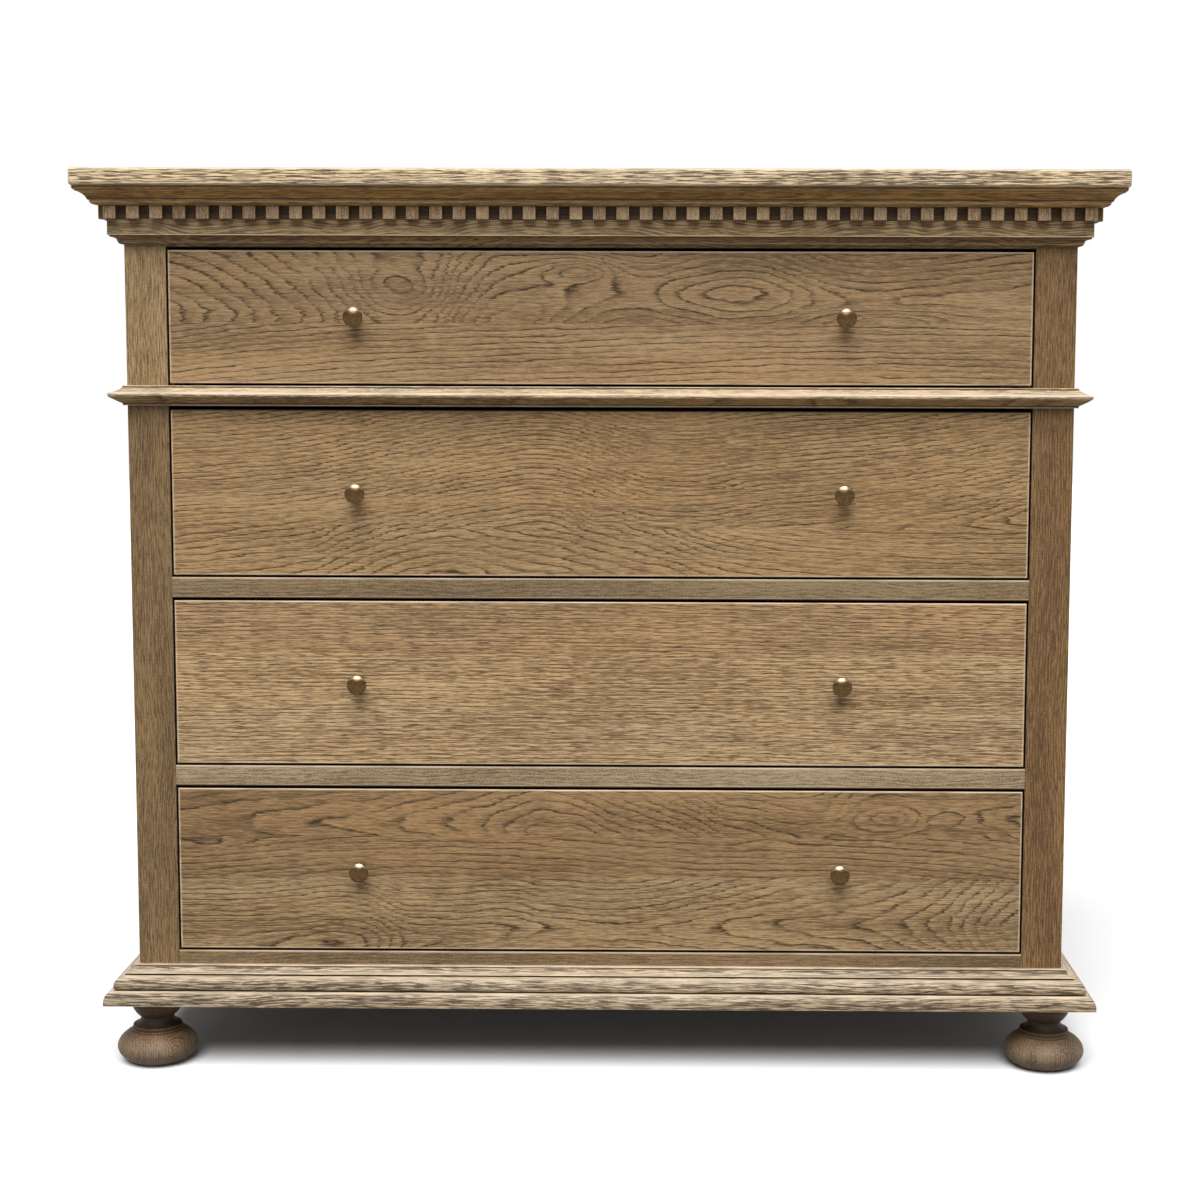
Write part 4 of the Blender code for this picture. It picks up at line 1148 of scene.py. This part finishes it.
for number in range(1, 5):
    low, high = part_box(f"drawer_{number}_front")
    for side, x in (("left", -knob_x), ("right", knob_x)):
        centre = (x, front_y, (low[2] + high[2]) / 2)
        points, faces, edge = turned_shape(knob_profile(), centre, upright=False, around=80, step=0.0004)
        name, body = f"drawer_{number}_knob_{side}", f"drawer_{number}"
        # Painted highlight on the upper rim of each knob.
        painted_highlight = painted_rim(points - np.array(centre))
        knob = make_piece(f"{name}_turned", points, faces, aged_brass, body, [name], edge, painted_highlight=painted_highlight)
print("knobs:", len(knob.data.polygons), "faces each")

# %% [markdown]
# ## Boards that the CAD model already draws well
# Flat boards need no new mesh, only a better finish in their material slot. A worn box that reaches beyond the
# end of a board leaves that end unrubbed, because there it meets its neighbour.

# %% Finishes for the CAD boards
def dress(name, material):
    """Gives a CAD node's slots one material."""
    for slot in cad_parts[name].material_slots:
        slot.material = material


RAILS = {
    "rail_upper": (0.66, 0.69, 0.69), "rail_lower": (0.91, 0.99, 1.08),
    "rail_bottom": (0.59, 0.575, 0.545), "base_board": (0.59, 0.575, 0.545),
}
rail_look = {"Figure": 0.45, "Brushed": 0.4, "Speckle": 2.0, "Specks": 0.4, "Streaks": 0.5}
beyond = 0.01
for name, stain in RAILS.items():
    low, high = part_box(name)
    box = ((low[0] - beyond, low[1], low[2]), (high[0] + beyond, high[1], high[2]))
    look = {"worn_box": box, "shaded": (0.0012, 0.0), **rail_look, **stained(BROWN, *stain)}
    dress(name, plain_oak(f"oak_{name}", "x", 0.0045, 1.5, **look))
stile_look = {"Figure": 0.5, "Streaks": 0.6, "Speckle": 1.6, "Brushed": 0.5, "rubbed": 0.12}
for side, stain in (("left", (0.60, 0.56, 0.48)), ("right", (0.61, 0.515, 0.39))):
    low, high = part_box(f"stile_{side}")
    outer = beyond if side == "left" else 0
    box = ((low[0] - outer, low[1], low[2] - beyond), (high[0] + beyond - outer, high[1], high[2] + beyond))
    look = {"worn_box": box, **stile_look, **stained(BROWN, *stain)}
    if side == "left":
        # Painted light: the left stile is lighter above the middle of the waist moulding.
        look["faded"] = (waist_z + waist_height / 2, stained(BROWN, 0.92, 0.92, 0.86))
    dress(f"stile_{side}", plain_oak(f"oak_stile_{side}", "z", 0.0032, 2.2, **look))
    dress(f"side_panel_{side}", oak_side)
dress("back_panel", ply_z)
for number in range(1, 4):
    dress(f"dust_board_{number}", oak_inside_x)
for number in range(1, 5):
    dress(f"drawer_{number}_front", oak_fronts[number])
    dress(f"drawer_{number}_side_left", oak_inside_y)
    dress(f"drawer_{number}_side_right", oak_inside_y)
    dress(f"drawer_{number}_back", oak_inside_x)
    dress(f"drawer_{number}_bottom", ply_x)
print("CAD boards dressed")

# %% [markdown]
# ## Floor and light
# The light comes from above and in front, as from an open sky: one very soft sun, and an even fill from all
# round. The floor and the background are white only to the camera and in reflections, so they add little light.

# %% Floor
def seen_directly(tree):
    """1 for camera, glossy and transmission rays, 0 for the light that falls on things."""
    path = tree.nodes.new("ShaderNodeLightPath")
    direct = sums(tree, "MAXIMUM", path.outputs["Is Camera Ray"], path.outputs["Is Glossy Ray"])
    return sums(tree, "MAXIMUM", direct, path.outputs["Is Transmission Ray"])


floor_half = 12
FLOOR_SHADE, FLOOR_SEEN = (0.18, 0.18, 0.18, 1), (0.90, 0.90, 0.90, 1)


def add_floor():
    """A square floor that is pale to the camera and throws little light back up."""
    mesh = bpy.data.meshes.new("studio_floor")
    corners = [(x * floor_half, y * floor_half, 0) for x, y in ((-1, -1), (1, -1), (1, 1), (-1, 1))]
    mesh.from_pydata(corners, [], [(0, 1, 2, 3)])
    material, tree, shader = start_material("pale_floor")
    tree.links.new(blend(tree, seen_directly(tree), FLOOR_SHADE, FLOOR_SEEN), shader["Base Color"])
    shader["Roughness"].default_value = 0.9
    shader["Specular IOR Level"].default_value = 0.1
    mesh.materials.append(material)
    floor = add_object("studio_floor", mesh)
    print("floor:", floor.name)


add_floor()

# %% Light
def add_sun(name, strength, angle, heading, height):
    """A soft sun: its angle across, heading to the left of the camera and height above the horizon, in degrees."""
    data = bpy.data.lights.new(name, "SUN")
    data.energy = strength
    data.angle = math.radians(angle)
    heading, tilt = math.radians(heading), math.radians(90 - height)
    add_object(name, data).matrix_world = Matrix.Rotation(heading, 4, "Z") @ Matrix.Rotation(tilt, 4, "X")


def add_world(fill):
    """An even fill that looks white to the camera."""
    world = bpy.data.worlds.new("studio")
    world.use_nodes = True
    tree = world.node_tree
    strength = remap(tree, seen_directly(tree), 0, 1, fill, 1.0)
    back = tree.nodes["Background"]
    back.inputs["Color"].default_value = (1, 1, 1, 1)
    tree.links.new(strength, back.inputs["Strength"])
    bpy.context.scene.world = world


add_sun("sky_light", strength=4.6, angle=45, heading=-4, height=56)
add_world(fill=0.26)
bpy.context.scene.view_settings.view_transform = "Standard"
print("light ready")
